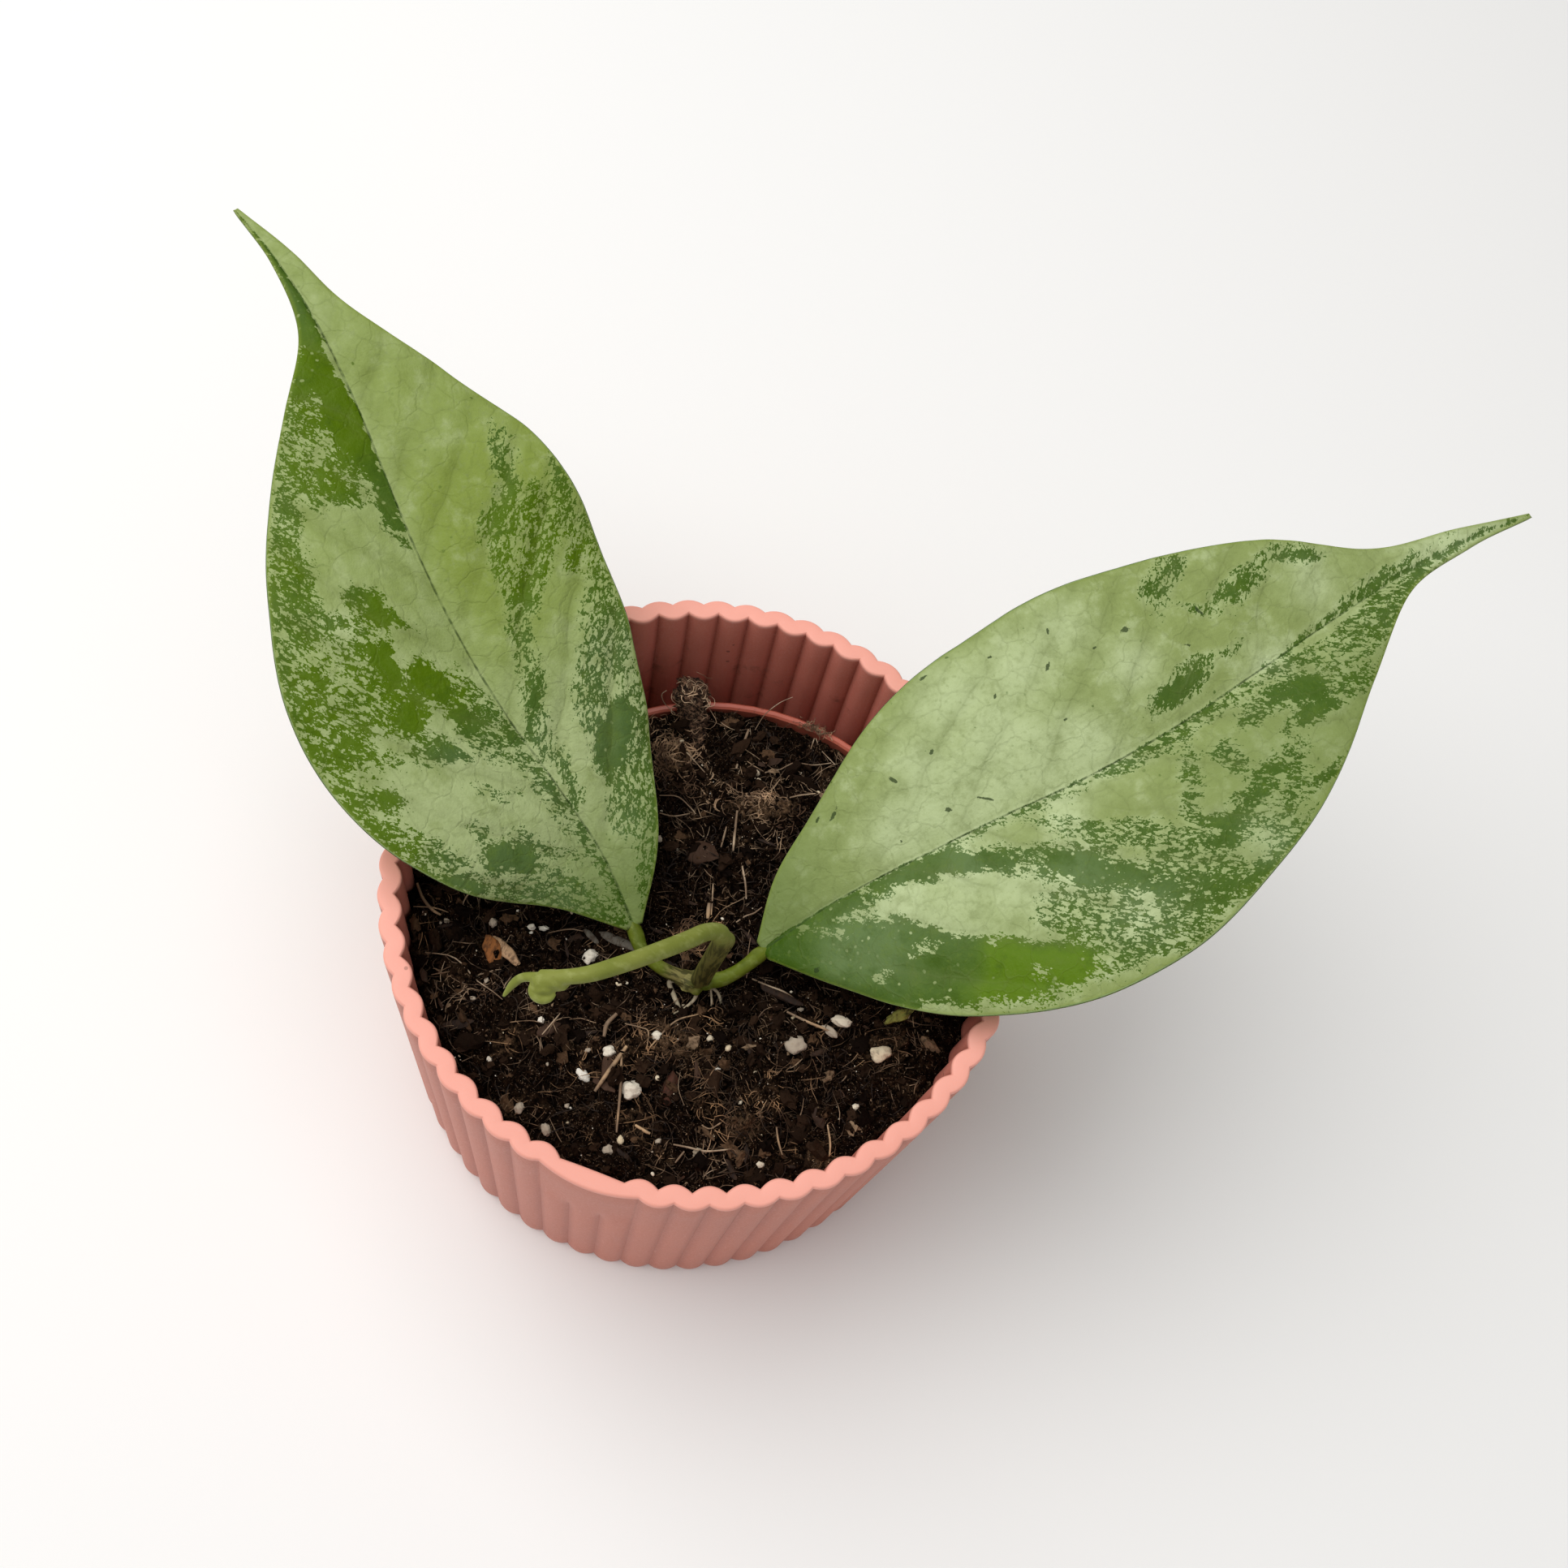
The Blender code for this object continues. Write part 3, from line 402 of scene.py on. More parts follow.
def even_points(points, count):
    stations = [k / (len(points) - 1) for k in range(len(points))]
    vectors = [Vector(p) for p in points]
    return [curve_through(stations, vectors, k / (count - 1)) for k in range(count)]


# Making pieces

def to_mesh(bm, name, crease=None):
    """Turn an edited mesh in millimetres into a mesh in metres."""
    bmesh.ops.scale(bm, vec=(MM, MM, MM), verts=bm.verts)
    mesh = bpy.data.meshes.new(name)
    bm.to_mesh(mesh)
    bm.free()
    mesh.shade_smooth()
    if crease:
        mesh.set_sharp_from_angle(angle=math.radians(crease))
    return mesh


def piece(name, mesh, finish, stands_for=()):
    made = bpy.data.objects.new(name, mesh)
    bpy.context.scene.collection.objects.link(made)
    mesh.materials.append(finish.material)
    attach(made, BODY)
    if stands_for:
        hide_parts(*stands_for)
    return made


def turned(profile, segments):
    """A closed shell turned about Z from (radius, height) points."""
    bm = bmesh.new()
    verts = [bm.verts.new((radius, 0, height)) for radius, height in profile]
    edges = [bm.edges.new(pair) for pair in zip(verts, verts[1:])]
    bmesh.ops.spin(bm, geom=verts + edges, cent=(0, 0, 0), axis=(0, 0, 1),
                   angle=2 * math.pi, steps=segments, use_merge=True, use_duplicate=False)
    bmesh.ops.remove_doubles(bm, verts=bm.verts, dist=0.001)
    return bm


def stem_mesh(routes, sides, count):
    """Round stems along smooth curves, each a (points, radii) pair, as one mesh. Each has count rings."""
    curve = bpy.data.curves.new("route", "CURVE")
    curve.dimensions = "3D"
    curve.bevel_depth = MM
    curve.bevel_resolution = sides
    curve.use_fill_caps = True
    for points, radii in routes:
        spline = curve.splines.new("POLY")
        spline.points.add(count - 1)
        steps = [k / (len(radii) - 1) for k in range(len(radii))]
        for k, place in enumerate(even_points(points, count)):
            spline.points[k].co = (*(place * MM), 1)
            spline.points[k].radius = curve_through(steps, radii, k / (count - 1))
    holder = bpy.data.objects.new("route", curve)
    mesh = bpy.data.meshes.new_from_object(holder)
    bpy.data.objects.remove(holder)
    bpy.data.curves.remove(curve)
    return mesh


def lump(bm, centre, half, turn, detail, rough, grain=1.7, seed=0, tilt=0.0):
    """Add a rounded, uneven lump to an edited mesh. Returns its points."""
    verts = bmesh.ops.create_icosphere(bm, subdivisions=detail, radius=1)["verts"]
    shift = Vector((seed * 3.17, seed * 1.3, 0))
    for vert in verts:
        vert.co *= 1 + rough * noise.noise(vert.co * grain + shift)
    bmesh.ops.scale(bm, vec=half, verts=verts)
    spin = Matrix.Rotation(math.radians(turn), 3, "Z") @ Matrix.Rotation(math.radians(tilt), 3, "Y")
    bmesh.ops.rotate(bm, matrix=spin, verts=verts)
    bmesh.ops.translate(bm, vec=centre, verts=verts)
    return verts


def lumps_mesh(name, rows, crease=None, batch=40):
    """Many lumps as one mesh, from rows of a shade and what lump() takes. They are made a batch
    at a time on small meshes, which is quicker."""
    whole = bmesh.new()
    for first in range(0, len(rows), batch):
        bm = bmesh.new()
        tint = bm.verts.layers.float.new("tint")
        for shade, *shape in rows[first:first + batch]:
            for vert in lump(bm, *shape):
                vert[tint] = shade
        mesh = bpy.data.meshes.new("batch")
        bm.to_mesh(mesh)
        bm.free()
        whole.from_mesh(mesh)
        bpy.data.meshes.remove(mesh)
    return to_mesh(whole, name, crease)


def grown_together(name, meshes, lumps, voxel, ease):
    """Fuse stems and lumps into one skin, as a plant grows."""
    bm = bmesh.new()
    for mesh in meshes:
        bm.from_mesh(mesh)
        bpy.data.meshes.remove(mesh)
    bmesh.ops.scale(bm, vec=(1 / MM,) * 3, verts=bm.verts)
    for centre, half, turn, tilt in lumps:
        lump(bm, centre, half, turn, detail=3, rough=0.18, tilt=tilt)
    rough = bpy.data.objects.new(name, to_mesh(bm, name))
    bpy.context.scene.collection.objects.link(rough)
    skin = rough.modifiers.new("skin", "REMESH")
    skin.mode = "VOXEL"
    skin.voxel_size = voxel * MM
    graph = bpy.context.evaluated_depsgraph_get()
    fused = bpy.data.meshes.new_from_object(rough.evaluated_get(graph))
    bpy.data.objects.remove(rough)
    bm = bmesh.new()
    bm.from_mesh(fused)
    for _ in range(ease):
        bmesh.ops.smooth_vert(bm, verts=bm.verts, factor=0.5, use_axis_x=True, use_axis_y=True,
                              use_axis_z=True)
    bmesh.ops.scale(bm, vec=(1 / MM,) * 3, verts=bm.verts)
    return to_mesh(bm, name)


# Cover pot

def off_flute(azimuth, middle):
    turns = (azimuth - middle) * FLUTES / 360
    return 2 * abs(turns - round(turns))


def off_pad(azimuth, half):
    return abs((azimuth - PAD_AZIMUTH + 180) % 360 - 180) / half


def outer_cut(azimuth, pad):
    """How far the outside stays within the peak radius."""
    flute = NOTCH_DEPTH * off_flute(azimuth, PAD_AZIMUTH) ** 2
    across = off_pad(azimuth, PAD_HALF_OUT)
    return mix(flute, NOTCH_DEPTH * across ** 2, pad) if across < 1 else flute


def inner_cut(azimuth, pad):
    """How far the inside stands within the groove radius."""
    bump = INNER_BUMP * (1 - off_flute(azimuth, PAD_AZIMUTH + 180 / FLUTES) ** 2)
    across = off_pad(azimuth, PAD_HALF_IN)
    return mix(bump, 0.4 * (1 - across ** 2), pad) if across < 1 else bump


def rounded(radius, height, size, start, end, steps):
    """Points of a quarter round between two directions, in degrees."""
    turns = [math.radians(mix(start, end, k / steps)) for k in range(steps + 1)]
    return [(radius + size * math.cos(t), height + size * math.sin(t)) for t in turns]


def cover_pot_mesh():
    outside, inside, top = PEAK_RADIUS, CUSP_RADIUS, POT_HEIGHT
    walls = [POT_CORNER + 4, 20, 38, PAD_LOW, 59, 62, 65, PAD_HIGH, 78]
    profile = [(0, 0), (20, 0), (45, 0)]
    profile += rounded(outside - POT_CORNER, POT_CORNER, POT_CORNER, -90, 0, 5)
    profile += [(outside, z) for z in walls]
    profile += rounded(outside - RIM_ROUND, top - RIM_ROUND, RIM_ROUND, 0, 90, 4)
    profile += [(outside - 1.5, top)]
    profile += rounded(inside + RIM_ROUND, top - RIM_ROUND, RIM_ROUND, 90, 180, 4)
    profile += [(inside, z) for z in reversed(walls)]
    profile += rounded(inside - FLOOR_ROUND, POT_FLOOR + FLOOR_ROUND, FLOOR_ROUND, 0, -90, 4)
    profile += [(30, POT_FLOOR), (0, POT_FLOOR)]
    bm = turned(profile, FLUTES * STEPS_PER_FLUTE)
    middle = (outside + inside) / 2
    # groove: how strongly each flute's valley is darkened with painted shade
    groove = bm.verts.layers.float.new("groove")
    for vert in bm.verts:
        x, y, z = vert.co
        radius = math.hypot(x, y)
        if radius < 1:
            continue
        azimuth = math.degrees(math.atan2(y, x))
        pad = smooth_step(PAD_LOW, PAD_HIGH, z)
        is_out = radius > middle or z < POT_FLOOR / 2
        inward = outer_cut(azimuth, pad) if is_out else inner_cut(azimuth, pad)
        if radius < middle - 4:     # the floor has no flutes
            inward = 0.0
        off = off_flute(azimuth, PAD_AZIMUTH + (0 if is_out else 180 / FLUTES))
        on_pad = pad if off_pad(azimuth, PAD_HALF_OUT if is_out else PAD_HALF_IN) < 1 else 0
        vert[groove] = smooth_step(0.45 if is_out else 0.7, 1.0, abs(off)) * (1 - on_pad)
        factor = 1 - (inward + POT_DRAFT * (top - z)) / radius
        vert.co = (x * factor, y * factor, z)
    bmesh.ops.recalc_face_normals(bm, faces=bm.faces)
    return to_mesh(bm, "cover_pot_moulded", crease=24)


def pot_finish():
    finish = Finish("soft_pink_plastic", roughness=0.5, specular=0.3)
    where = finish.place()
    height = finish.axis(where, "Z")
    cloud = finish.noise(where, 28, detail=4)
    grain = finish.noise(where, 2600, detail=2)
    flat = finish.node("VectorMath", {"operation": "MULTIPLY"}, {0: where, 1: (1, 1, 0)})
    across = finish.value("VectorMath", {"operation": "LENGTH"}, {0: flat}, out="Value")
    inside = (1 - across.above(0.0574, 0.0577)) * height.above(0.0024, 0.0030)
    # One pink plastic in painted light: the outside wall and the inside are darker copies carrying painted
    # shade, and the top of the rim is the lit copy
    outer, inner, rim = (finish.mix(cloud.above(0.3, 0.72), first, second) for first, second in (
        ((0.535, 0.134, 0.072), (0.585, 0.155, 0.086)),
        ((0.72, 0.225, 0.165), (0.79, 0.262, 0.192)),
        ((0.90, 0.385, 0.30), (0.95, 0.42, 0.335))))
    # Damp soil dust on the inside, thickest just above the mix, and a few stray specks
    dust = finish.noise(where, 150, detail=5, rough=0.65)
    low = 1 - height.above(0.070, 0.080)
    smear = (inside * low * dust.above(0.56, 0.72)) * 0.4
    specks = finish.dots(where, 260, 0.1, 0.76) * inside * 0.55
    dirt = smear.most(specks)
    # Fine pale streaks that run with the wall
    pale_streak = finish.noise(finish.stretched(where, (1, 1, 0.12)), 700, detail=3).above(0.66, 0.74) * 0.14
    base = finish.coats(
        outer,
        (inside, inner),
        # painted shade in the flute valleys, stronger on the inside
        (finish.mark("groove") * (0.3 + inside * 0.3), (0.30, 0.058, 0.030)),
        (height.above(0.0866, 0.0876), rim),
        (grain.above(0.35, 0.75) * 0.2, (0.88, 0.44, 0.37)),
        (dirt.limited(), (0.10, 0.055, 0.038)),
        (pale_streak, (0.90, 0.50, 0.43)))
    return finish.done(base, 0.39 + cloud * 0.1 + dirt * 0.25,
                       grain * 0.5 + finish.noise(where, 700) * 0.5, 0.00007, 0.5)


# Nursery pot

def nursery_finish():
    finish = Finish("thin_terracotta_plastic", roughness=0.42, specular=0.5)
    where = finish.place()
    cloud = finish.noise(where, 60, detail=4)
    streak = finish.noise(finish.stretched(where, (1, 1, 0.1)), 420, detail=3)
    soil = finish.noise(where, 520, detail=5, rough=0.7).above(0.62, 0.72) * 0.6
    base = finish.coats(
        finish.mix(cloud.above(0.3, 0.7), (0.41, 0.092, 0.056), (0.51, 0.125, 0.078)),
        (streak.above(0.6, 0.75) * 0.3, (0.62, 0.22, 0.16)),
        (soil, (0.07, 0.04, 0.028)))
    return finish.done(base, 0.38 + soil * 0.4 + cloud * 0.1, streak, 0.00008, 0.4)


# Potting mix

def behind(azimuth):
    """1 at the back, where the mix lies low, falling to 0 at the sides."""
    away = abs((azimuth - SOIL_BACK_AZIMUTH + 180) % 360 - 180)
    return 1 - smooth_step(38, 78, away)


def tucked(azimuth):
    """1 where the mix ends inside the nursery pot's rim, 0 where it covers the rim."""
    return min(behind(azimuth) * 2.4, 1)


def wall_radius(azimuth, height):
    """Where the cover pot's inside stands at an azimuth about its own axis."""
    pad = smooth_step(PAD_LOW, PAD_HIGH, height)
    return CUSP_RADIUS - inner_cut(azimuth, pad) - POT_DRAFT * (POT_HEIGHT - height)


def lip_radius(azimuth):
    """How far the mix reaches from the nursery pot's centre: up to the cover pot."""
    turn = math.radians(azimuth)
    along = CENTRE[0] * math.cos(turn) + CENTRE[1] * math.sin(turn)
    off = CENTRE[0] ** 2 + CENTRE[1] ** 2
    reach, limit = 50.0, 55.0
    for _ in range(4):
        reach = math.sqrt(along ** 2 - off + limit ** 2) - along
        x, y = CENTRE[0] + reach * math.cos(turn), CENTRE[1] + reach * math.sin(turn)
        limit = wall_radius(math.degrees(math.atan2(y, x)), NURSERY_TOP) - WALL_GAP
    return reach


def soil_height(x, y):
    """Height of the mix about the nursery pot's centre, without its clumps and clods."""
    radius = math.hypot(x, y)
    low = behind(math.degrees(math.atan2(y, x)))
    place = Vector((x, y, 0))
    lumps = (1.5 * noise.noise(place * 0.09) + 0.9 * noise.noise(place * 0.21 + Vector((7, 3, 1)))
             + 0.5 * noise.noise(place * 0.5))
    dish = SOIL_BACK_DROP * low * smooth_step(6, 34, radius)
    return SOIL_CROWN + 1.2 * math.cos(min(radius / 46, 1) * math.pi / 2) - dish + lumps


def heap_height(x, y):
    """How far the coir clumps stand above the mix."""
    rise = 0.0
    for hx, hy, long, wide, tall, turn, sunk in HEAPS:
        t = math.radians(turn)
        dx, dy = x + CENTRE[0] - hx, y + CENTRE[1] - hy
        u = (dx * math.cos(t) + dy * math.sin(t)) / long
        v = (dy * math.cos(t) - dx * math.sin(t)) / wide
        rise = max(rise, tall * (math.sqrt(max(0.0, 1 - u * u - v * v)) - sunk))
    return rise


def bed(x, y):
    """The mix without its clods."""
    return soil_height(x, y) + heap_height(x, y)


def clods(x, y):
    """Height of the rounded clods, with sharp pits between them."""
    place = Vector((x, y, 0))
    return sum(tall * abs(noise.noise(place * often + Vector((often * 40, 9, 0))))
               for tall, often in ((3.2, 0.17), (2.9, 0.42), (2.1, 0.95), (1.2, 2.1), (0.6, 4.3)))


def ground(x, y):
    return bed(x, y) + clods(x, y) - CLOD_SINK


def mix_mesh():
    """A turned shell that fills the nursery pot, with its top rings laid on the ground."""
    shell = [(0, 5.4), (36.5, 5.4), (38.0, 8.0), (45.0, 58.0), (45.8, 64.0)]
    rings = [46.0, 46.6, 49.6, 50.0, MIX_SPAN] + [50.3 - 0.42 * k for k in range(1, 118)] + [0.5, 0]
    bm = turned(shell + [(radius, RING_MARK + k) for k, radius in enumerate(rings)], 420)
    pit_shade, coir = (bm.verts.layers.float.new(key) for key in ("pit_shade", "coir"))
    for vert in bm.verts:
        x, y, z = vert.co
        if z < RING_MARK - 1:
            continue
        k = round(z - RING_MARK)
        share = math.hypot(x, y) / MIX_SPAN
        azimuth = math.degrees(math.atan2(y, x)) if share > 0.0002 else 0.0
        turn = math.radians(azimuth)
        tuck = tucked(azimuth)
        lip = lip_radius(azimuth)
        spill = smooth_step(51.0, 56.0, lip) * (1 - tuck)
        edge = mix(lip, BACK_EDGE, tuck)
        outside = [(46.0, mix(71.0, 66.0, tuck)), (mix(47.0, 46.02, tuck), mix(72.15, 67.0, tuck)),
                   (mix(49.25, 46.04, tuck), mix(72.15, 68.0, tuck)),
                   (mix(49.3, 46.06, tuck), mix(72.0 - 6 * spill, 68.6, tuck)),
                   (edge, mix(72.2 - 6 * spill, 69.0, tuck))]
        if k < len(outside):
            radius, z = outside[k]
        else:
            radius = share * edge
            px, py = radius * math.cos(turn), radius * math.sin(turn)
            clod = clods(px, py)
            top = bed(px, py) + clod - CLOD_SINK
            # how much painted shade lies in the pits between the clods
            vert[pit_shade] = 1 - smooth_step(0.7, 2.3, clod)
            vert[coir] = smooth_step(0.0, 1.0, heap_height(px, py))
            over_rim = smooth_step(45.6, 46.4, radius) * (1 - smooth_step(49.4, 50.6, radius)) * (1 - tuck)
            top = mix(top, max(top, NURSERY_TOP + 0.5), over_rim) - 1.6 * spill * smooth_step(49.5, lip, radius)
            brink = smooth_step(edge - 0.8, edge, radius)
            z = mix(top, mix(NURSERY_TOP + 0.9 - 3.0 * spill, min(top, NURSERY_TOP - 0.8), tuck), brink)
        vert.co = (radius * math.cos(turn), radius * math.sin(turn), z)
    bmesh.ops.translate(bm, vec=(*CENTRE, 0), verts=bm.verts)
    bmesh.ops.recalc_face_normals(bm, faces=bm.faces)
    return to_mesh(bm, "peat")


def on_mix(draw, margin=0.6):
    """A random place on the mix, and its height."""
    while True:
        x, y = draw.uniform(-PEAK_RADIUS, PEAK_RADIUS), draw.uniform(-PEAK_RADIUS, PEAK_RADIUS)
        radius, azimuth = math.hypot(x, y), math.degrees(math.atan2(y, x))
        if radius < PEAK_RADIUS and radius < mix(lip_radius(azimuth), BACK_REACH, tucked(azimuth)) - margin:
            return x + CENTRE[0], y + CENTRE[1], ground(x, y)


def height_at(x, y):
    return ground(x - CENTRE[0], y - CENTRE[1])


def bed_at(x, y):
    return bed(x - CENTRE[0], y - CENTRE[1])


def crumbs_mesh(draw):
    """Loose crumbs and clods of peat, each with its own shade."""
    rows = []
    for k in range(2600):
        x, y, z = on_mix(draw)
        size = 0.22 + draw.random() ** 5 * 1.4
        half = (size * draw.uniform(0.8, 1.7), size * draw.uniform(0.6, 1.0), size * draw.uniform(0.4, 0.8))
        turn, tilt, shade = draw.uniform(0, 180), draw.uniform(-50, 50), draw.random()
        rows.append((shade, (x, y, z + size * 0.1), half, turn, 2 if size > 0.5 else 1, 1.1, 2.1, k, tilt))
    return lumps_mesh("peat_crumbs", rows, crease=34)


# Chips placed after the photograph: x, y, half lengths, turn in degrees, shade. The last is a
# knobbly one. RAISED_CHIPS are those that lie on top of the mix.
CHIPS = [
    (-33.6, -22.7, 2.9, 1.6, 0.6, -56, 0.62), (-31.2, -21.8, 3.7, 1.1, 0.8, -27, 0.95),
    (7.0, -35.1, 3.3, 1.3, 0.7, 97, 0.42), (-4.1, 10.8, 3.4, 2.4, 0.8, 10, 0.25),
    (-18.0, -33.0, 2.4, 1.1, 0.6, 50, 0.2), (34.8, -30.0, 2.2, 1.2, 0.6, -50, 0.12),
    (-5.4, -34.6, 3.6, 1.0, 0.6, 100, 0.3), (-15.7, 12.0, 2.6, 1.2, 0.6, 20, 0.15),
    (-12.3, -12.6, 4.2, 0.9, 0.5, -6, 1.4), (-17.4, -13.3, 2.0, 0.6, 0.3, -25, 1.4),
    (20.4, -11.0, 4.4, 0.8, 0.5, -4, 0.05), (43.0, -6.7, 2.8, 1.0, 0.9, 40, 1.8),
]
RAISED_CHIPS = (0, 1, 8, 9, 10, 11)


def chips_mesh(draw):
    """Flakes of bark and husk that lie on the mix, each with its own shade."""
    placed = list(CHIPS)
    for _ in range(90):
        x, y, _z = on_mix(draw, 2.0)
        long = 0.7 + draw.random() ** 3 * 2.2
        placed.append((x, y, long, long * draw.uniform(0.15, 0.4), draw.uniform(0.12, 0.3),
                       draw.uniform(0, 180), draw.random() ** 2 * 0.42))
    rows = []
    for k, (x, y, long, wide, tall, turn, shade) in enumerate(placed):
        lie = mix(bed_at(x, y) + 0.5, height_at(x, y), 0.4) + (0.9 if k in RAISED_CHIPS else 0.0)
        detail, rough = 3 if k < len(CHIPS) else 2, 0.25 if k < len(CHIPS) - 1 else 0.6
        tilt = draw.uniform(-16, 16)
        rows.append((shade, (x, y, lie), (long, wide, tall), turn, detail, rough, 1.5, k + 50, tilt))
    return lumps_mesh("bark_chips", rows, crease=40)


# White grains placed after the photograph, in the same terms
GRAINS = [
    (0.4, -37.8, 1.7, 1.6, 1.3, 20, 0.3), (-8.8, -38.5, 1.5, 0.9, 0.8, -25, 0.0),
    (26.3, -18.9, 1.9, 1.7, 1.3, 15, 1.4), (42.0, -14.6, 1.9, 1.5, 1.2, 30, 0.8),
    (-16.1, -17.0, 1.5, 1.2, 1.1, 65, 0.2), (33.0, -11.8, 1.9, 1.0, 0.9, 5, 0.5),
    (31.5, -14.2, 1.8, 0.8, 0.8, -20, 1.3), (-5.9, -32.8, 1.1, 1.0, 0.9, 0, 0.3),
    (14.2, -29.0, 0.7, 1.1, 0.7, 0, 0.1), (1.3, -27.1, 1.0, 0.8, 0.8, 10, 0.3),
    (-14.8, 39.6, 0.7, 0.7, 0.7, 0, 0.2), (-28.5, -15.7, 0.8, 0.6, 0.6, 0, 0.2),
    (-26.5, -14.6, 1.0, 0.5, 0.5, 20, 0.2), (-35.5, -17.6, 0.7, 0.9, 0.7, 0, 1.5),
    (16.2, -44.2, 1.0, 0.9, 0.8, 0, 1.2), (-17.3, -48.3, 0.8, 1.1, 0.7, 0, 1.5),
    (-11.2, -50.3, 1.2, 0.8, 0.8, -50, 1.6), (0.6, -49.6, 1.0, 0.9, 0.8, 30, 1.5),
    (0.4, 31.4, 0.7, 0.6, 0.6, 0, 1.2), (1.3, 30.0, 0.6, 0.5, 0.5, 0, 1.2),
    (-19.8, -32.0, 0.6, 0.6, 0.6, 0, 0.1),
]


def perlite_mesh(draw):
    """White foamed grains, seeds and husk ends."""
    placed = list(GRAINS)
    for _ in range(330):
        x, y, _z = on_mix(draw, 2.0)
        size = 0.10 + draw.random() ** 7 * 0.6
        placed.append((x, y, size * 1.3, size, size * 0.8, draw.uniform(0, 180), draw.random() * 1.5))
    rows = []
    for k, (x, y, long, wide, tall, turn, shade) in enumerate(placed):
        share, detail = (0.5, 3) if k < len(GRAINS) else (0.75, 2)
        place = (x, y, mix(bed_at(x, y) + 0.5, height_at(x, y), share) + tall * mix(0.9, 0.3, share))
        rows.append((shade, place, (long, wide, tall), turn, detail, 0.42, 1.7, k + 7))
    return lumps_mesh("perlite", rows)


def peat_finish():
    finish = Finish("damp_peat", roughness=0.85, specular=0.03)
    where = finish.place()
    coarse = finish.noise(where, 120, detail=6, rough=0.7)
    fine = finish.noise(where, 1000, detail=5, rough=0.75)
    strand = finish.noise(where, 700, detail=3, rough=0.6, warp=2.5)
    brown = (coarse.above(0.54, 0.68) * 0.6 + finish.mark("coir") * 0.9) * fine.above(0.38, 0.6)
    base = finish.coats(
        finish.mix(fine.above(0.42, 0.68), (0.0028, 0.0011, 0.0006), (0.026, 0.0130, 0.0068)),
        (brown.limited(), (0.170, 0.100, 0.055)),
        (strand.above(0.60, 0.66) * 0.7, (0.21, 0.135, 0.080)),
        # tiny pale specks, which also serve as painted glints on the damp peat
        (finish.noise(where, 2600, detail=2).above(0.68, 0.73) * 0.8, (0.45, 0.34, 0.25)),
        # painted shade in the pits between the clods
        (finish.mark("pit_shade") * 0.9, (0.0016, 0.0006, 0.0003)))
    height = fine * 0.5 + strand * 0.25 + finish.noise(where, 3000, detail=3) * 0.25
    return finish.done(base, 0.7 + fine * 0.3, height, 0.0012, 1.0)


def crumb_finish():
    finish = Finish("peat_crumb", roughness=0.8, specular=0.06)
    where = finish.place()
    shade = finish.mark("tint")
    fine = finish.noise(where, 1500, detail=4, rough=0.7)
    base = finish.coats(
        finish.mix(shade, (0.0035, 0.0015, 0.0008), (0.036, 0.0185, 0.0100)),
        (shade.above(0.88, 0.9), (0.105, 0.058, 0.031)),
        (shade.above(0.97, 0.98), (0.27, 0.18, 0.11)),
        (fine.above(0.45, 0.7) * 0.6, (0.009, 0.0045, 0.0025)))
    return finish.done(base, 0.68 + fine * 0.3, fine, 0.0005, 0.8)


def chip_finish():
    finish = Finish("bark_flake", roughness=0.7, specular=0.2)
    where = finish.place()
    shade = finish.mark("tint")
    fibre = finish.noise(finish.stretched(where, (1, 0.35, 1)), 1300, detail=4, rough=0.65)
    base = finish.coats(
        finish.mix(shade.above(0.0, 0.3), (0.016, 0.009, 0.006), (0.06, 0.03, 0.017)),
        (shade.above(0.3, 0.45), (0.075, 0.024, 0.013)),
        (shade.above(0.5, 0.6), (0.30, 0.11, 0.03)),
        (shade.above(0.8, 0.9), (0.56, 0.35, 0.20)),
        (shade.above(1.1, 1.2), (0.14, 0.125, 0.10)),
        (shade.above(1.6, 1.7), (0.34, 0.34, 0.075)),
        (fibre.above(0.42, 0.66) * 0.75, (0.045, 0.022, 0.012)))
    return finish.done(base, 0.55 + fibre * 0.35, fibre, 0.0004, 0.9)


def perlite_finish():
    finish = Finish("perlite_grain", roughness=0.8, specular=0.2)
    where = finish.place()
    shade = finish.mark("tint")
    pores = finish.noise(where, 1500, detail=5, rough=0.75)
    base = finish.coats(
        finish.mix(shade.limited(), (0.93, 0.875, 0.77), (0.80, 0.65, 0.42)),
        (shade.above(1.0, 1.3) * 0.9, (0.46, 0.385, 0.305)),
        (pores.above(0.52, 0.75) * 0.6, (0.40, 0.30, 0.20)),
        (finish.noise(where, 420, detail=4).above(0.60, 0.7) * 0.5, (0.10, 0.06, 0.04)))
    return finish.done(base, 0.7 + pores * 0.25, pores, 0.0004, 0.9)


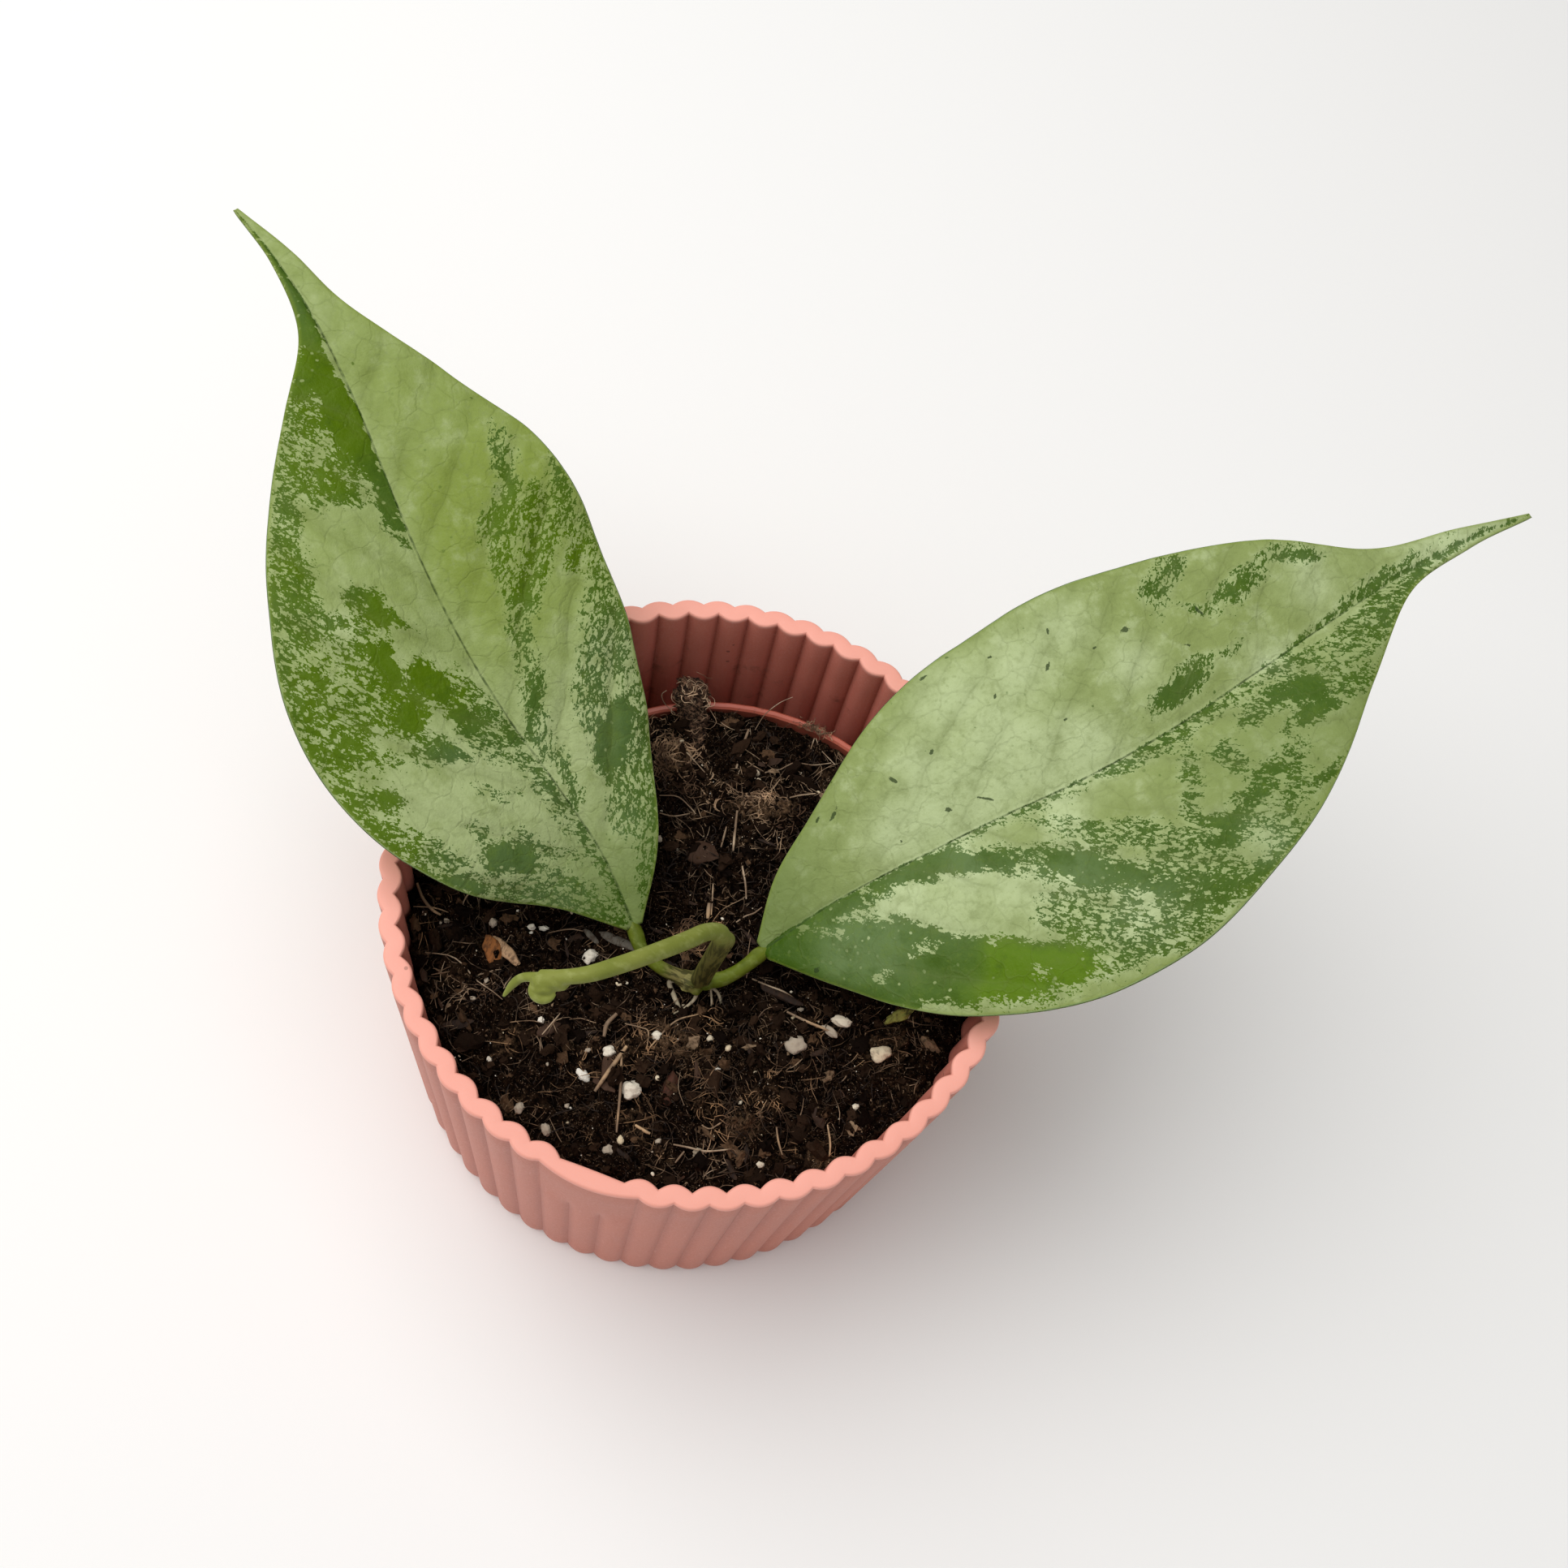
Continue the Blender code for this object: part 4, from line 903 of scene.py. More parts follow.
STRAWS = [   # fibres that show in the photograph: radius, then points over the mix (x, y)
    (0.42, [(-7.2, -25.7), (-8.2, -28.1), (-7.8, -30.6)]),
    (0.42, [(-3.2, -30.9), (-4.4, -35.9), (-5.6, -40.6)]),
    (0.26, [(-3.8, -31.9), (-1.5, -38.2), (0.9, -46.2)]), (0.32, [(3.6, -43.6), (5.7, -44.1), (6.7, -44.2)]),
    (0.2, [(11.4, -44.5), (14.4, -44.1), (17.4, -43.6), (21.5, -41.7)]),
    (0.2, [(13.7, -45.0), (12.9, -47.5)]), (0.2, [(36.9, -30.9), (38.5, -34.3), (39.3, -37.5)]),
    (0.13, [(15.0, -39.3), (16.7, -39.4), (18.1, -37.8)]),
    (0.2, [(28.1, -34.7), (29.3, -37.0), (30.8, -39.2)]),
    (0.22, [(14.2, -9.9), (17.6, -9.9), (21.0, -10.0), (25.0, -11.2)]),
    (0.28, [(22.6, -13.4), (26.9, -13.9), (30.0, -14.2), (31.5, -14.4)]),
    (0.14, [(-16.8, 31.2), (-13.2, 29.2), (-8.6, 26.9)]),
    (0.14, [(2.0, 31.9), (4.6, 33.7), (6.8, 36.4), (10.5, 37.5), (13.8, 39.1)]),
    (0.3, [(-4.3, 39.6), (-4.1, 35.1), (-3.7, 30.8)]), (0.13, [(8.8, 43.5), (8.9, 40.6)]),
    (0.13, [(9.1, 43.6), (10.8, 41.3), (14.7, 39.1)]),
    (0.13, [(-15.8, 19.0), (-12.4, 20.0), (-9.5, 19.3), (-7.8, 18.4)]),
    (0.15, [(-14.4, 15.4), (-11.6, 15.8), (-9.0, 17.9)]), (0.2, [(8.5, 28.3), (10.5, 29.9), (13.0, 31.3)]),
    (0.17, [(7.5, -0.8), (8.7, 1.0), (10.1, 2.2), (11.1, 3.9)]),
    (0.42, [(1.3, 1.0), (1.7, -0.4), (2.1, -1.9)]), (0.15, [(0.6, 5.2), (1.6, 2.0), (2.5, -1.0)]),
    (0.26, [(-0.3, 21.4), (1.0, 16.4), (1.9, 13.0)]), (0.2, [(3.8, 12.0), (6.4, 7.6), (7.7, 4.5)]),
    (0.2, [(-1.1, 17.4), (-0.6, 12.9)]), (0.14, [(9.0, 44.6), (11.4, 45.6)]),
    (0.13, [(-45.0, -27.5), (-40.5, -26.5), (-37.3, -27.3), (-34.2, -29.0), (-30.5, -29.9), (-28.0, -30.8)]),
    (0.14, [(-18.6, -34.4), (-17.7, -31.9), (-17.0, -29.6)]),
    (0.14, [(-5.1, -26.9), (-1.9, -26.7), (-0.4, -27.2), (0.4, -29.8)]),
    (0.16, [(0.9, -29.7), (3.4, -23.6), (7.0, -20.1)]),
    (0.14, [(-50.7, -20.1), (-47.1, -19.0), (-44.0, -18.6)]),
    (0.3, [(-52.0, -15.5), (-49.7, -17.9), (-47.0, -19.5), (-45.3, -19.7)]),
]
LOOSE_ENDS = [   # fibres that stand clear of the mix: radius, then points
    (0.09, [(-3.1, 40.4, 72.4), (-2.5, 43.0, 74.0), (-1.7, 44.2, 75.5), (-0.1, 46.1, 77.0),
            (1.8, 47.6, 78.0)]),
    (0.08, [(-22.3, 39.2, 77.6), (-23.0, 38.4, 76.6), (-22.0, 37.6, 75.0), (-19.7, 37.1, 73.5),
            (-16.6, 36.1, 72.6)]),
]


def fibres(draw, number, radius, length, curl, lift):
    """Routes of threads that lie in and on the mix."""
    routes = []
    for _ in range(number):
        x, y, _z = on_mix(draw, 1.0)
        turn, bend = draw.uniform(0, 2 * math.pi), draw.gauss(0, curl)
        reach = mix(*length, draw.random() ** 2)
        rise, slope = draw.uniform(-0.2, 1.0), draw.gauss(0, lift)
        points = []
        for k in range(4):
            px, py = x - CENTRE[0], y - CENTRE[1]
            at_back = behind(math.degrees(math.atan2(py, px))) > 0
            if math.hypot(px, py) > 47.5 and (at_back or math.hypot(x, y) > 54.5):
                break
            points.append((x, y, bed(px, py) + rise + slope * k / 3 + draw.gauss(0, 0.15)))
            x += math.cos(turn) * reach / 3
            y += math.sin(turn) * reach / 3
            turn += bend + draw.gauss(0, curl * 0.6)
        if len(points) > 2:
            size = mix(*radius, draw.random() ** 2)
            routes.append((points, [size * 0.7, size, size * 0.5]))
    return routes


def placed_fibres():
    routes = []
    for size, points in STRAWS:
        route = [(x, y, bed_at(x, y) + size + 1.0) for x, y in points]
        routes.append((route, [size * 0.8, size, size, size * 0.7]))
    return routes + [(route, [size, size, size * 0.6]) for size, route in LOOSE_ENDS]


def loop(draw, centre, radius, upright):
    """Part of a ring of thread about a centre, or a long bow through it where threads lie flat."""
    flat = upright < 0.7
    turn, lean = draw.uniform(0, 2 * math.pi), draw.uniform(-1.3, 1.3) * upright
    first = Vector((math.cos(turn), math.sin(turn), 0))
    second = Vector((-math.sin(turn) * math.cos(lean), math.cos(turn) * math.cos(lean), math.sin(lean)))
    start, span = draw.uniform(0, 2 * math.pi), draw.uniform(1.2, 3.4)
    if flat:
        radius, span = radius * 2.4, span * 0.36
        centre = centre - (first * math.cos(start + span / 2) + second * math.sin(start + span / 2)) * radius
    points = []
    for t in (start + span * k / 4 for k in range(5)):
        uneven = draw.uniform(0.94, 1.06) if flat else draw.uniform(0.8, 1.2)
        place = centre + (first * math.cos(t) + second * math.sin(t)) * radius * uneven
        on_rim = math.hypot(place.x - CENTRE[0], place.y - CENTRE[1]) > 45.5
        points.append((place.x, place.y, max(place.z, 72.4 if on_rim else 66.0)))
    size = 0.05 + draw.random() ** 2 * (0.05 if flat else 0.08)
    return points, [size, size, size * 0.7]


def coir_clumps(draw):
    """Tangles of coir on the clumps."""
    routes = []
    for x0, y0, spread_x, spread_y, number, size, upright in TANGLES:
        for _ in range(number):
            x, y = draw.gauss(x0, spread_x), draw.gauss(y0, spread_y)
            centre = Vector((x, y, bed_at(x, y) + draw.uniform(-0.5, 0.4)))
            routes.append(loop(draw, centre, size * draw.uniform(0.5, 1.5), upright))
    return routes


def tangled_coir(draw):
    """Loops of coir on the clumps and round the heap on the back rim, and a few wisps beside it."""
    routes = coir_clumps(draw)
    for k in range(320):
        along = draw.random() ** 0.6
        middle = Vector(curve_through([0, 0.5, 1], [Vector(p) for p in HEAP_SPINE], along))
        away = Vector((draw.gauss(0, 1), draw.gauss(0, 1), draw.gauss(0, 0.7))).normalized()
        size = draw.uniform(0.5, 1.6) if k % 9 else draw.uniform(1.9, 2.9)
        routes.append(loop(draw, middle + away * (1.4 + 1.1 * along), size, 1.0))
    for _ in range(60):
        middle = Vector((draw.gauss(8.2, 1.7), draw.gauss(45.2, 0.5), 72.9))
        routes.append(loop(draw, middle, draw.uniform(0.4, 1.2), 0.5))
    return routes


def heap_mesh():
    """The body of the coir heap that leans on the back rim, and a crumb that lies on it to the right."""
    bm = bmesh.new()
    lump(bm, (8.2, 45.4, 72.7), (1.0, 0.45, 0.3), -20, 3, 0.9, 2.6, 60)
    for k in range(46):
        along = k / 45
        x, y, z = curve_through([0, 0.5, 1], [Vector(p) for p in HEAP_SPINE], along)
        wide = 1.6 + 1.1 * along + 0.5 * noise.noise(Vector((k * 0.9, 0, 0)))
        spot = (x + 1.3 * noise.noise(Vector((k, 3.3, 0))), y + 1.1 * noise.noise(Vector((k, 0, 7.1))), z)
        lump(bm, spot, (wide, wide * 0.8, wide * 0.62), k * 40, 3, 1.1, 2.6, k)
    return to_mesh(bm, "coir_heap")


def coir_finish():
    finish = Finish("coir_heap_fibre", roughness=0.9, specular=0.2)
    where = finish.place()
    fine = finish.noise(where, 1100, detail=6, rough=0.75, warp=0.6)
    base = finish.mix(fine.above(0.42, 0.66), (0.016, 0.007, 0.0035), (0.38, 0.215, 0.13))
    return finish.done(base, 0.75 + fine * 0.25, fine, 0.0012, 1.0)


def fibre_finish(name, dark, light):
    finish = Finish(name, roughness=0.7, specular=0.3)
    where = finish.place()
    tone = finish.noise(where, 120, detail=3, rough=0.7)
    knots = finish.noise(where, 1500, detail=2)
    warm = finish.noise(where, 60, detail=2).above(0.42, 0.58) * 0.8
    back_grey = finish.axis(where, "Y").above(0.002, 0.014) * 0.45    # at the back they are greyer and a little lighter
    tan = finish.coats(
        light,
        (warm, (light[0] * 0.88, light[1] * 0.70, light[2] * 0.50)),
        (back_grey, (light[0] * 1.04, light[1] * 1.15, light[2] * 1.26)))
    base = finish.coats(
        dark,
        (tone.above(0.44, 0.68), tan),
        (knots.above(0.6, 0.75) * 0.6, (0.06, 0.035, 0.02)))
    return finish.done(base, 0.6 + knots * 0.3, knots, 0.0001, 0.5)


# Leaves

def depth_in(patch, along, across):
    """How deep points lie in a patch, in mm, and below 0 outside it."""
    a, b, long, wide, turn, rag = patch
    t = math.radians(turn)
    da, db = along - a, across - b
    u = (da * math.cos(t) + db * math.sin(t)) / long
    v = (db * math.cos(t) - da * math.sin(t)) / wide
    depth = np.minimum((1 - np.hypot(u, v)) * min(wide, long, 4.0) * 1.2, mix(3.0, 0.15, rag))
    if abs(b) > 0.4:     # a patch keeps to its own side of the midrib
        depth = depth - 3 * np.maximum(-math.copysign(1, b) * across, 0)
    return np.maximum(depth, -6.0)


def splash_field(splashes, flakes, along, across):
    """How deep points lie in green (above 0) or silver, and how far this breaks up."""
    depths = np.array([depth_in(patch, along, across) for patch in splashes])
    weight = np.exp(depths * 1.5)
    rags = np.array([patch[5] for patch in splashes])[:, None]
    calm = math.exp(-3.0)
    speckle = ((weight * rags).sum(0) + calm * 0.05) / (weight.sum(0) + calm)
    field = depths.max(0)
    for flake in flakes:
        bare = depth_in(flake, along, across)
        field = np.where(bare > -1.0, np.minimum(field, -bare), field)
        speckle = np.where(bare > -1.0, flake[5], speckle)
    return field, speckle


def soft_spots(spots, along, across):
    """1 at the middle of each spot, fading out over its reach."""
    return np.minimum(1, sum(np.exp(-((along - a) ** 2 + (across - b) ** 2) / reach ** 2)
                             for a, b, reach in spots))


def leaf_frame(leaf, s):
    """A place on the midrib, with the directions to its left and up from the blade."""
    points = [Vector(p) for p in leaf["midrib"]]
    stations = [k / (len(points) - 1) for k in range(len(points))]
    before, here, after = (curve_through(stations, points, at)
                           for at in (max(s - 0.02, 0), s, min(s + 0.02, 1)))
    ahead = after - before
    ahead.normalize()
    aside = Vector((0, 0, 1)).cross(ahead).normalized()
    return here, aside, ahead.cross(aside)


def nerve_phase(along, across):
    """Where a place lies between two side nerves, from -0.5 to 0.5 with the nerve at 0."""
    reach = abs(across)
    side = NERVE_SHIFT if across > 0 else 0
    turn = (along - NERVE_LEAN * reach - NERVE_BEND * reach ** 2 + side) / NERVE_GAP
    return turn - round(turn)


def leaf_mesh(name, leaf, splashes, flakes, painted_sheen, fresh, quilt_depth):
    """A blade of two grids, top and underside, that meet at its margin. The marks for its finish
    are stored on its points, and its UV is along and across in metres."""
    bm = bmesh.new()
    length = [0.0]
    frames = []
    for i in range(LEAF_ROWS + 1):
        t = i / LEAF_ROWS
        s = mix(t, 0.5 - 0.5 * math.cos(math.pi * t), 0.4)
        frames.append((s, *leaf_frame(leaf, s)))
        if i:
            length.append(length[-1] + (frames[-1][1] - frames[-2][1]).length)
    uv = bm.loops.layers.uv.new("UVMap")
    marks = ("splash", "speckle", "painted_sheen", "fresh")
    layers = {key: bm.verts.layers.float.new(key) for key in (*marks, "margin", "under")}
    place, spots = {}, []
    for under in (0, 1):
        verts = bmesh.ops.create_grid(bm, x_segments=LEAF_COLUMNS, y_segments=LEAF_ROWS, size=1)["verts"]
        for vert in verts:
            row = round((vert.co.y + 1) / 2 * LEAF_ROWS)
            v = -math.sin(vert.co.x * math.pi / 2) * 0.6 - vert.co.x * 0.4
            s, here, aside, upward = frames[row]
            half = curve_through(STATIONS, leaf["left" if v > 0 else "right"], s)
            reach = abs(v)
            along, across = length[row], math.copysign(half * reach, v)
            rise = half * math.sin(LEAF_FOLD) * reach * (1 - LEAF_RECURVE * reach)
            body = smooth_step(0, 0.12, s) * (1 - smooth_step(0.75, 0.95, s))
            wave = LEAF_WAVE * reach ** 2 * body * math.sin(s * 26 + (2.1 if v > 0 else 0.0))
            ends = math.sqrt(max(0.0, 1 - max(0.0, 1 - min(s, 1 - s) / 0.008) ** 2))
            edge = math.sqrt(max(0.0, 1 - reach ** 10)) * ends
            calm = body * smooth_step(1.0, 0.8, reach) * smooth_step(0.02, 0.2, reach)
            quilt = quilt_depth * (math.sin(abs(nerve_phase(along, across)) * math.pi) ** 0.8 - 0.6) * calm
            spot = Vector((along, across, 3))
            quilt += (0.5 * noise.noise(spot * 0.07) + 0.12 * noise.noise(spot * 0.3)) * body
            groove = math.exp(-(across / 0.6) ** 2) * (1 - smooth_step(0.85, 1, s))
            if under:
                lift = -LEAF_THICKNESS * edge - groove * mix(1.1, 0.2, s) * ends + quilt
            else:
                lift = -0.2 * groove * ends + quilt - (1 - edge) * 0.45
            if edge == 0:     # the margin, where both grids meet
                lift = quilt - LEAF_THICKNESS * 0.45
            vert.co = here + aside * (math.copysign(half, v) * reach) + upward * (rise + wave + lift)
            place[vert] = (along * MM, across * MM)
            vert[layers["margin"]] = smooth_step(half - 1.0, half - 0.1, half * reach)
            vert[layers["under"]] = under
            wander = noise.noise_vector(spot * 0.14) * 1.7 + noise.noise_vector(spot * 0.45) * 0.9
            spots.append((along + wander.x, across + wander.y * min(1, abs(across) / 4)))
    along, across = np.array(spots).T
    splash, speckle = splash_field(splashes, flakes, along, across)
    fields = (splash, speckle, soft_spots(painted_sheen, along, across), soft_spots(fresh, along, across))
    for vert, *values in zip(bm.verts, *fields):
        for key, value in zip(marks, values):
            vert[layers[key]] = value
    for face in bm.faces:
        for loop in face.loops:
            loop[uv].uv = place[loop.vert]
    bmesh.ops.remove_doubles(bm, verts=bm.verts, dist=0.002)
    bmesh.ops.recalc_face_normals(bm, faces=bm.faces)
    return to_mesh(bm, name)


def leaf_finish(name, pale, sunny, bright, young, sheen_green, warmth, far_shade, lit_side, ticks=()):
    """Silver ground with green splashes that break up into speckle at their edges."""
    finish = Finish(name, roughness=0.45, specular=0.09)
    flat = finish.flat_place()
    along, across = finish.axis(flat, "X"), finish.axis(flat, "Y")
    reach = across.size()
    splash, speckle, painted_sheen, fresh = (finish.mark(key) for key in ("splash", "speckle", "painted_sheen", "fresh"))
    # Coordinates that lean with the side nerves, so that ragged edges do too
    run = finish.node("CombineXYZ", inputs={"X": along - reach * 0.7, "Y": across * 0.8})
    ragged = finish.noise(run, 280, detail=6, rough=0.66) - 0.5
    flecks = finish.noise(flat, 850, detail=4, rough=0.66) - 0.5
    crumbs = finish.noise(flat, 2400, detail=2, rough=0.5) - 0.5
    calm = 0.3 + reach.above(0.0006, 0.0040) * 0.7     # near the midrib the green keeps to a thin line
    lace = 0.58 - (finish.noise(run, 560, detail=4, rough=0.62) - 0.5).size().above(0.008, 0.090)
    broken = flecks * (2.0 + speckle * 7.0) + crumbs * (1.2 + speckle * 6.5) + lace * (0.5 + speckle * 2.8)
    green = (splash + ragged * 5.2 + broken * calm).above(-0.08, 0.12)
    # Bright silver dots in the green, and dark ones in the silver, both thicker near the edges
    patchy = finish.noise(flat, 190, detail=3).above(0.42, 0.62)
    stars = finish.dots(finish.warped(flat, 900, 0.0006), 760, 0.24, 0.60) * patchy
    green = green * (1 - stars * (1 - splash.above(1.6, 3.4) * 0.6))
    stray = finish.dots(finish.warped(flat, 900, 0.0008), 520, 0.15, 0.72) * patchy
    # Silver ground: yellower towards the tip and on the painted lit half, whiter under painted sheen and near
    # the splashes, and darker with painted shade near the base and over the far right part
    cloud = finish.noise(flat, 48, detail=5, rough=0.62)
    mottle = finish.noise(flat, 190, detail=5, rough=0.66)
    fine = finish.noise(flat, 950, detail=3, rough=0.6)
    lit = 0.35 + (across * lit_side).above(-0.002, 0.006) * 0.65
    lit = lit * (1 - along.above(0.085, 0.120) * 0.45)
    sunlit = along.above(0.03, 0.085) * warmth * lit + (cloud - 0.5) * 1.3 - painted_sheen * 0.3
    white = painted_sheen * (0.35 + cloud) + splash.above(-2.4, -0.2) * 0.3
    outer = (0.001 - across).above(0.0, 0.012) * along.above(0.070, 0.095)
    ground = finish.coats(
        finish.mix(sunlit.limited(), pale, sunny),
        (white.limited() * 0.9, bright),
        (mottle.above(0.46, 0.72) * 0.45, shaded(sunny, 0.76)),
        ((1 - mottle).above(0.5, 0.72) * 0.5, bright),
        (fine.above(0.5, 0.74) * 0.35, shaded(pale, 0.72)),
        # painted shade near the base of the blade
        ((1 - along.above(0.004, 0.030)) * 0.75, (0.125, 0.18, 0.045)),
        # painted shade over the far part of the blade's right half, its strength given for each leaf
        (outer * far_shade, (0.185, 0.250, 0.072)))
    # Green splashes: greyed by painted sheen, yellower where they are young, with light flecks that are painted
    # highlights
    youth = fresh * 1.1 + (cloud - 0.5) * 1.0
    splash_colour = finish.coats(
        finish.mix(youth.limited(), (0.060, 0.118, 0.013), young),
        ((painted_sheen * (1 - fresh * 0.7) * 0.95).limited(), sheen_green),
        (mottle.above(0.48, 0.70) * 0.5, (0.042, 0.088, 0.005)),
        ((1 - mottle).above(0.50, 0.70) * 0.35, (0.115, 0.185, 0.020)),
        ((1 - along.above(0.001, 0.010)) * 0.75, (0.032, 0.078, 0.001)),
        # light flecks: painted highlights on the fine bumps of the green
        (fine.above(0.52, 0.75) * 0.25, (0.15, 0.22, 0.02)))
    # Side nerves in soft troughs darkened with painted shade, the net between them, and the dark line along the
    # midrib
    wander = (finish.noise(flat, 60, detail=3) - 0.5) * 0.010
    side = across.above(-0.0001, 0.0001) * (NERVE_SHIFT * MM)
    bend = reach * reach * (NERVE_BEND / MM)
    turn = (along - reach * NERVE_LEAN - bend + side + wander) / (NERVE_GAP * MM)
    off = ((turn + 0.5).part() - 0.5).size()
    fade = (1 - reach.above(0.022, 0.036)) * along.above(0.008, 0.03) * (1 - along.above(0.115, 0.145))
    fade = fade * finish.noise(flat, 75, detail=2).above(0.28, 0.52)
    nerve, trough = (1 - off.above(0.0, 0.045)) * fade, (1 - off.above(0.0, 0.26)) * fade
    bent = finish.warped(flat, 260, 0.004)
    net = 1 - finish.cells(bent, 190, "DISTANCE_TO_EDGE").above(0.0, 0.07)
    uneven = 0.35 + finish.noise(flat, 420, detail=3).above(0.42, 0.60) * 0.65
    midrib = (1 - reach.above(0.00006, 0.00030)) * uneven
    base = finish.coats(
        ground,
        (green.most(stray * 0.8).limited(), splash_colour),
        # painted shade in the nerve troughs, and the darker nerve lines
        ((trough * 0.16 + nerve * 0.11).limited(), shaded(sunny, 0.55)),
        (net * 0.13, shaded(sunny, 0.5)),
        (midrib * 0.75 * (1 - along.above(0.12, 0.16)), (0.030, 0.06, 0.01)))
    for a, b, long, wide, lean in ticks:
        spot = finish.node("Mapping", {"vector_type": "TEXTURE"}, {
            "Vector": flat, "Location": (a * MM, b * MM, 0), "Rotation": (0, 0, math.radians(lean)),
            "Scale": (long * MM, wide * MM, 1)})
        far = finish.value("VectorMath", {"operation": "LENGTH"}, {0: spot}, out="Value") + flecks * 3.5
        base = finish.mix((1 - far.above(0.85, 1.1)) * 0.85, base, (0.028, 0.052, 0.012))
    # The underside is paler and plain
    below = finish.coats(
        finish.mix(cloud.above(0.35, 0.65), (0.19, 0.28, 0.095), (0.25, 0.34, 0.14)),
        (nerve.most(midrib * 0.8) * 0.5, (0.31, 0.39, 0.19)),
        (net * 0.2 + fine * 0.1, (0.15, 0.22, 0.07)))
    under = finish.mark("under")
    base = finish.coats(
        base,
        (finish.mark("margin") * 0.5, (0.20, 0.27, 0.04)),
        (under.above(0.4, 0.6), below))
    skin = finish.noise(flat, 420, detail=5, rough=0.62)
    height = (0.5 - trough * 0.5 - nerve * 0.1 - net * 0.12 + mottle * 0.5 + skin * 0.5 + crumbs * 0.1
              - midrib * 0.3)
    roughness = 0.36 + mottle * 0.16 + (1 - green) * 0.06 + under * 0.1
    return finish.done(base, roughness, height, 0.0006, 0.75)


# Stem, roots and shoot

def green_stem_finish(name, main, dark, light, per_metre, run, woody, brown):
    """Smooth green skin that turns woody, with dark stripes along its run, where woody() says so."""
    finish = Finish(name, roughness=0.5, specular=0.14)
    where = finish.place()
    cloud = finish.noise(where, per_metre, detail=3, rough=0.6)
    streak = finish.noise(finish.stretched(where, (0.35, 0.5, 0.3)), 1500, detail=3)
    stripe = finish.noise(finish.stretched(where, run), 1400, detail=3, rough=0.6).above(0.44, 0.56)
    base = finish.coats(
        main,
        (cloud.above(0.35, 0.7), dark),
        (streak.above(0.48, 0.72) * 0.5, light),
        ((woody(finish, where) * 0.9).limited(), finish.mix(stripe, brown, shaded(brown, 0.28))),
        (finish.noise(where, 1700, detail=2).above(0.68, 0.73) * 0.4, (0.10, 0.08, 0.02)))
    height = streak * 0.6 + finish.noise(where, 2600) * 0.4
    return finish.done(base, 0.42 + cloud * 0.2, height, 0.00016, 0.6)


def near(place, inner, outer):
    """1 within inner mm of a place, falling to 0 at outer mm."""
    def share(finish, where):
        off = finish.node("VectorMath", {"operation": "SUBTRACT"}, {0: where, 1: tuple(c * MM for c in place)})
        far = finish.value("VectorMath", {"operation": "LENGTH"}, {0: off}, out="Value")
        return 1 - far.above(inner * MM, outer * MM)
    return share


def low_down(finish, where):
    """The foot of the shoot, below its arch."""
    return 1 - finish.axis(where, "Z").above(0.113, 0.121)


def cutting():
    knot = (NODE[0], NODE[1] - 0.2, NODE[2] - 0.4)
    stems = [stem_mesh([(points, radii)], 5, 40) for points, radii in
             zip(PETIOLES, ([1.6, 1.4, 1.25, 1.3, 1.5, 1.1], [1.7, 1.5, 1.35, 1.35, 1.5, 1.1]))]
    stems.append(stem_mesh([([(4.2, -14.6, 64), (4.1, -14.6, 70), NODE], [1.4, 1.7, 1.8])], 5, 16))
    lumps = [(knot, (2.3, 2.1, 1.9), 20, 0), ((1.7, -15.7, 76.7), (1.5, 1.3, 1.2), -10, 0),
             ((6.4, -14.8, 76.8), (1.4, 1.3, 1.2), 20, 0), ((5.0, -16.4, 75.8), (1.1, 1.0, 1.1), 0, 0)]
    lumps += [((3.2 + 0.12 * k, -15.9 + 0.1 * k, 76.0 + 0.8 * k), (1.8 - 0.12 * k, 1.65 - 0.1 * k, 0.3), 10, 8)
              for k in range(4)]
    mesh = grown_together("cutting", stems, lumps, 0.16, 2)
    finish = green_stem_finish("green_stem", (0.122, 0.158, 0.012), (0.072, 0.100, 0.006),
                               (0.21, 0.25, 0.062), 200, (0.12, 1, 0.8),
                               near((1.6, -15.6, 77.2), 1.6, 5.6), (0.215, 0.185, 0.066))
    piece("hoya_cutting", mesh, finish, ["hoya_stem"])
    sizes = ([0.5, 0.5, 0.42, 0.3], [0.5, 0.32, 0.16, 0.12], [0.34, 0.3, 0.22], [0.24, 0.2, 0.16],
             [0.34, 0.26, 0.16])
    roots = stem_mesh(list(zip(ROOTS, sizes)), 3, 20)
    roots.shade_smooth()
    piece("root_ends", roots, fibre_finish("pale_root", (0.30, 0.25, 0.165), (0.70, 0.64, 0.52)))


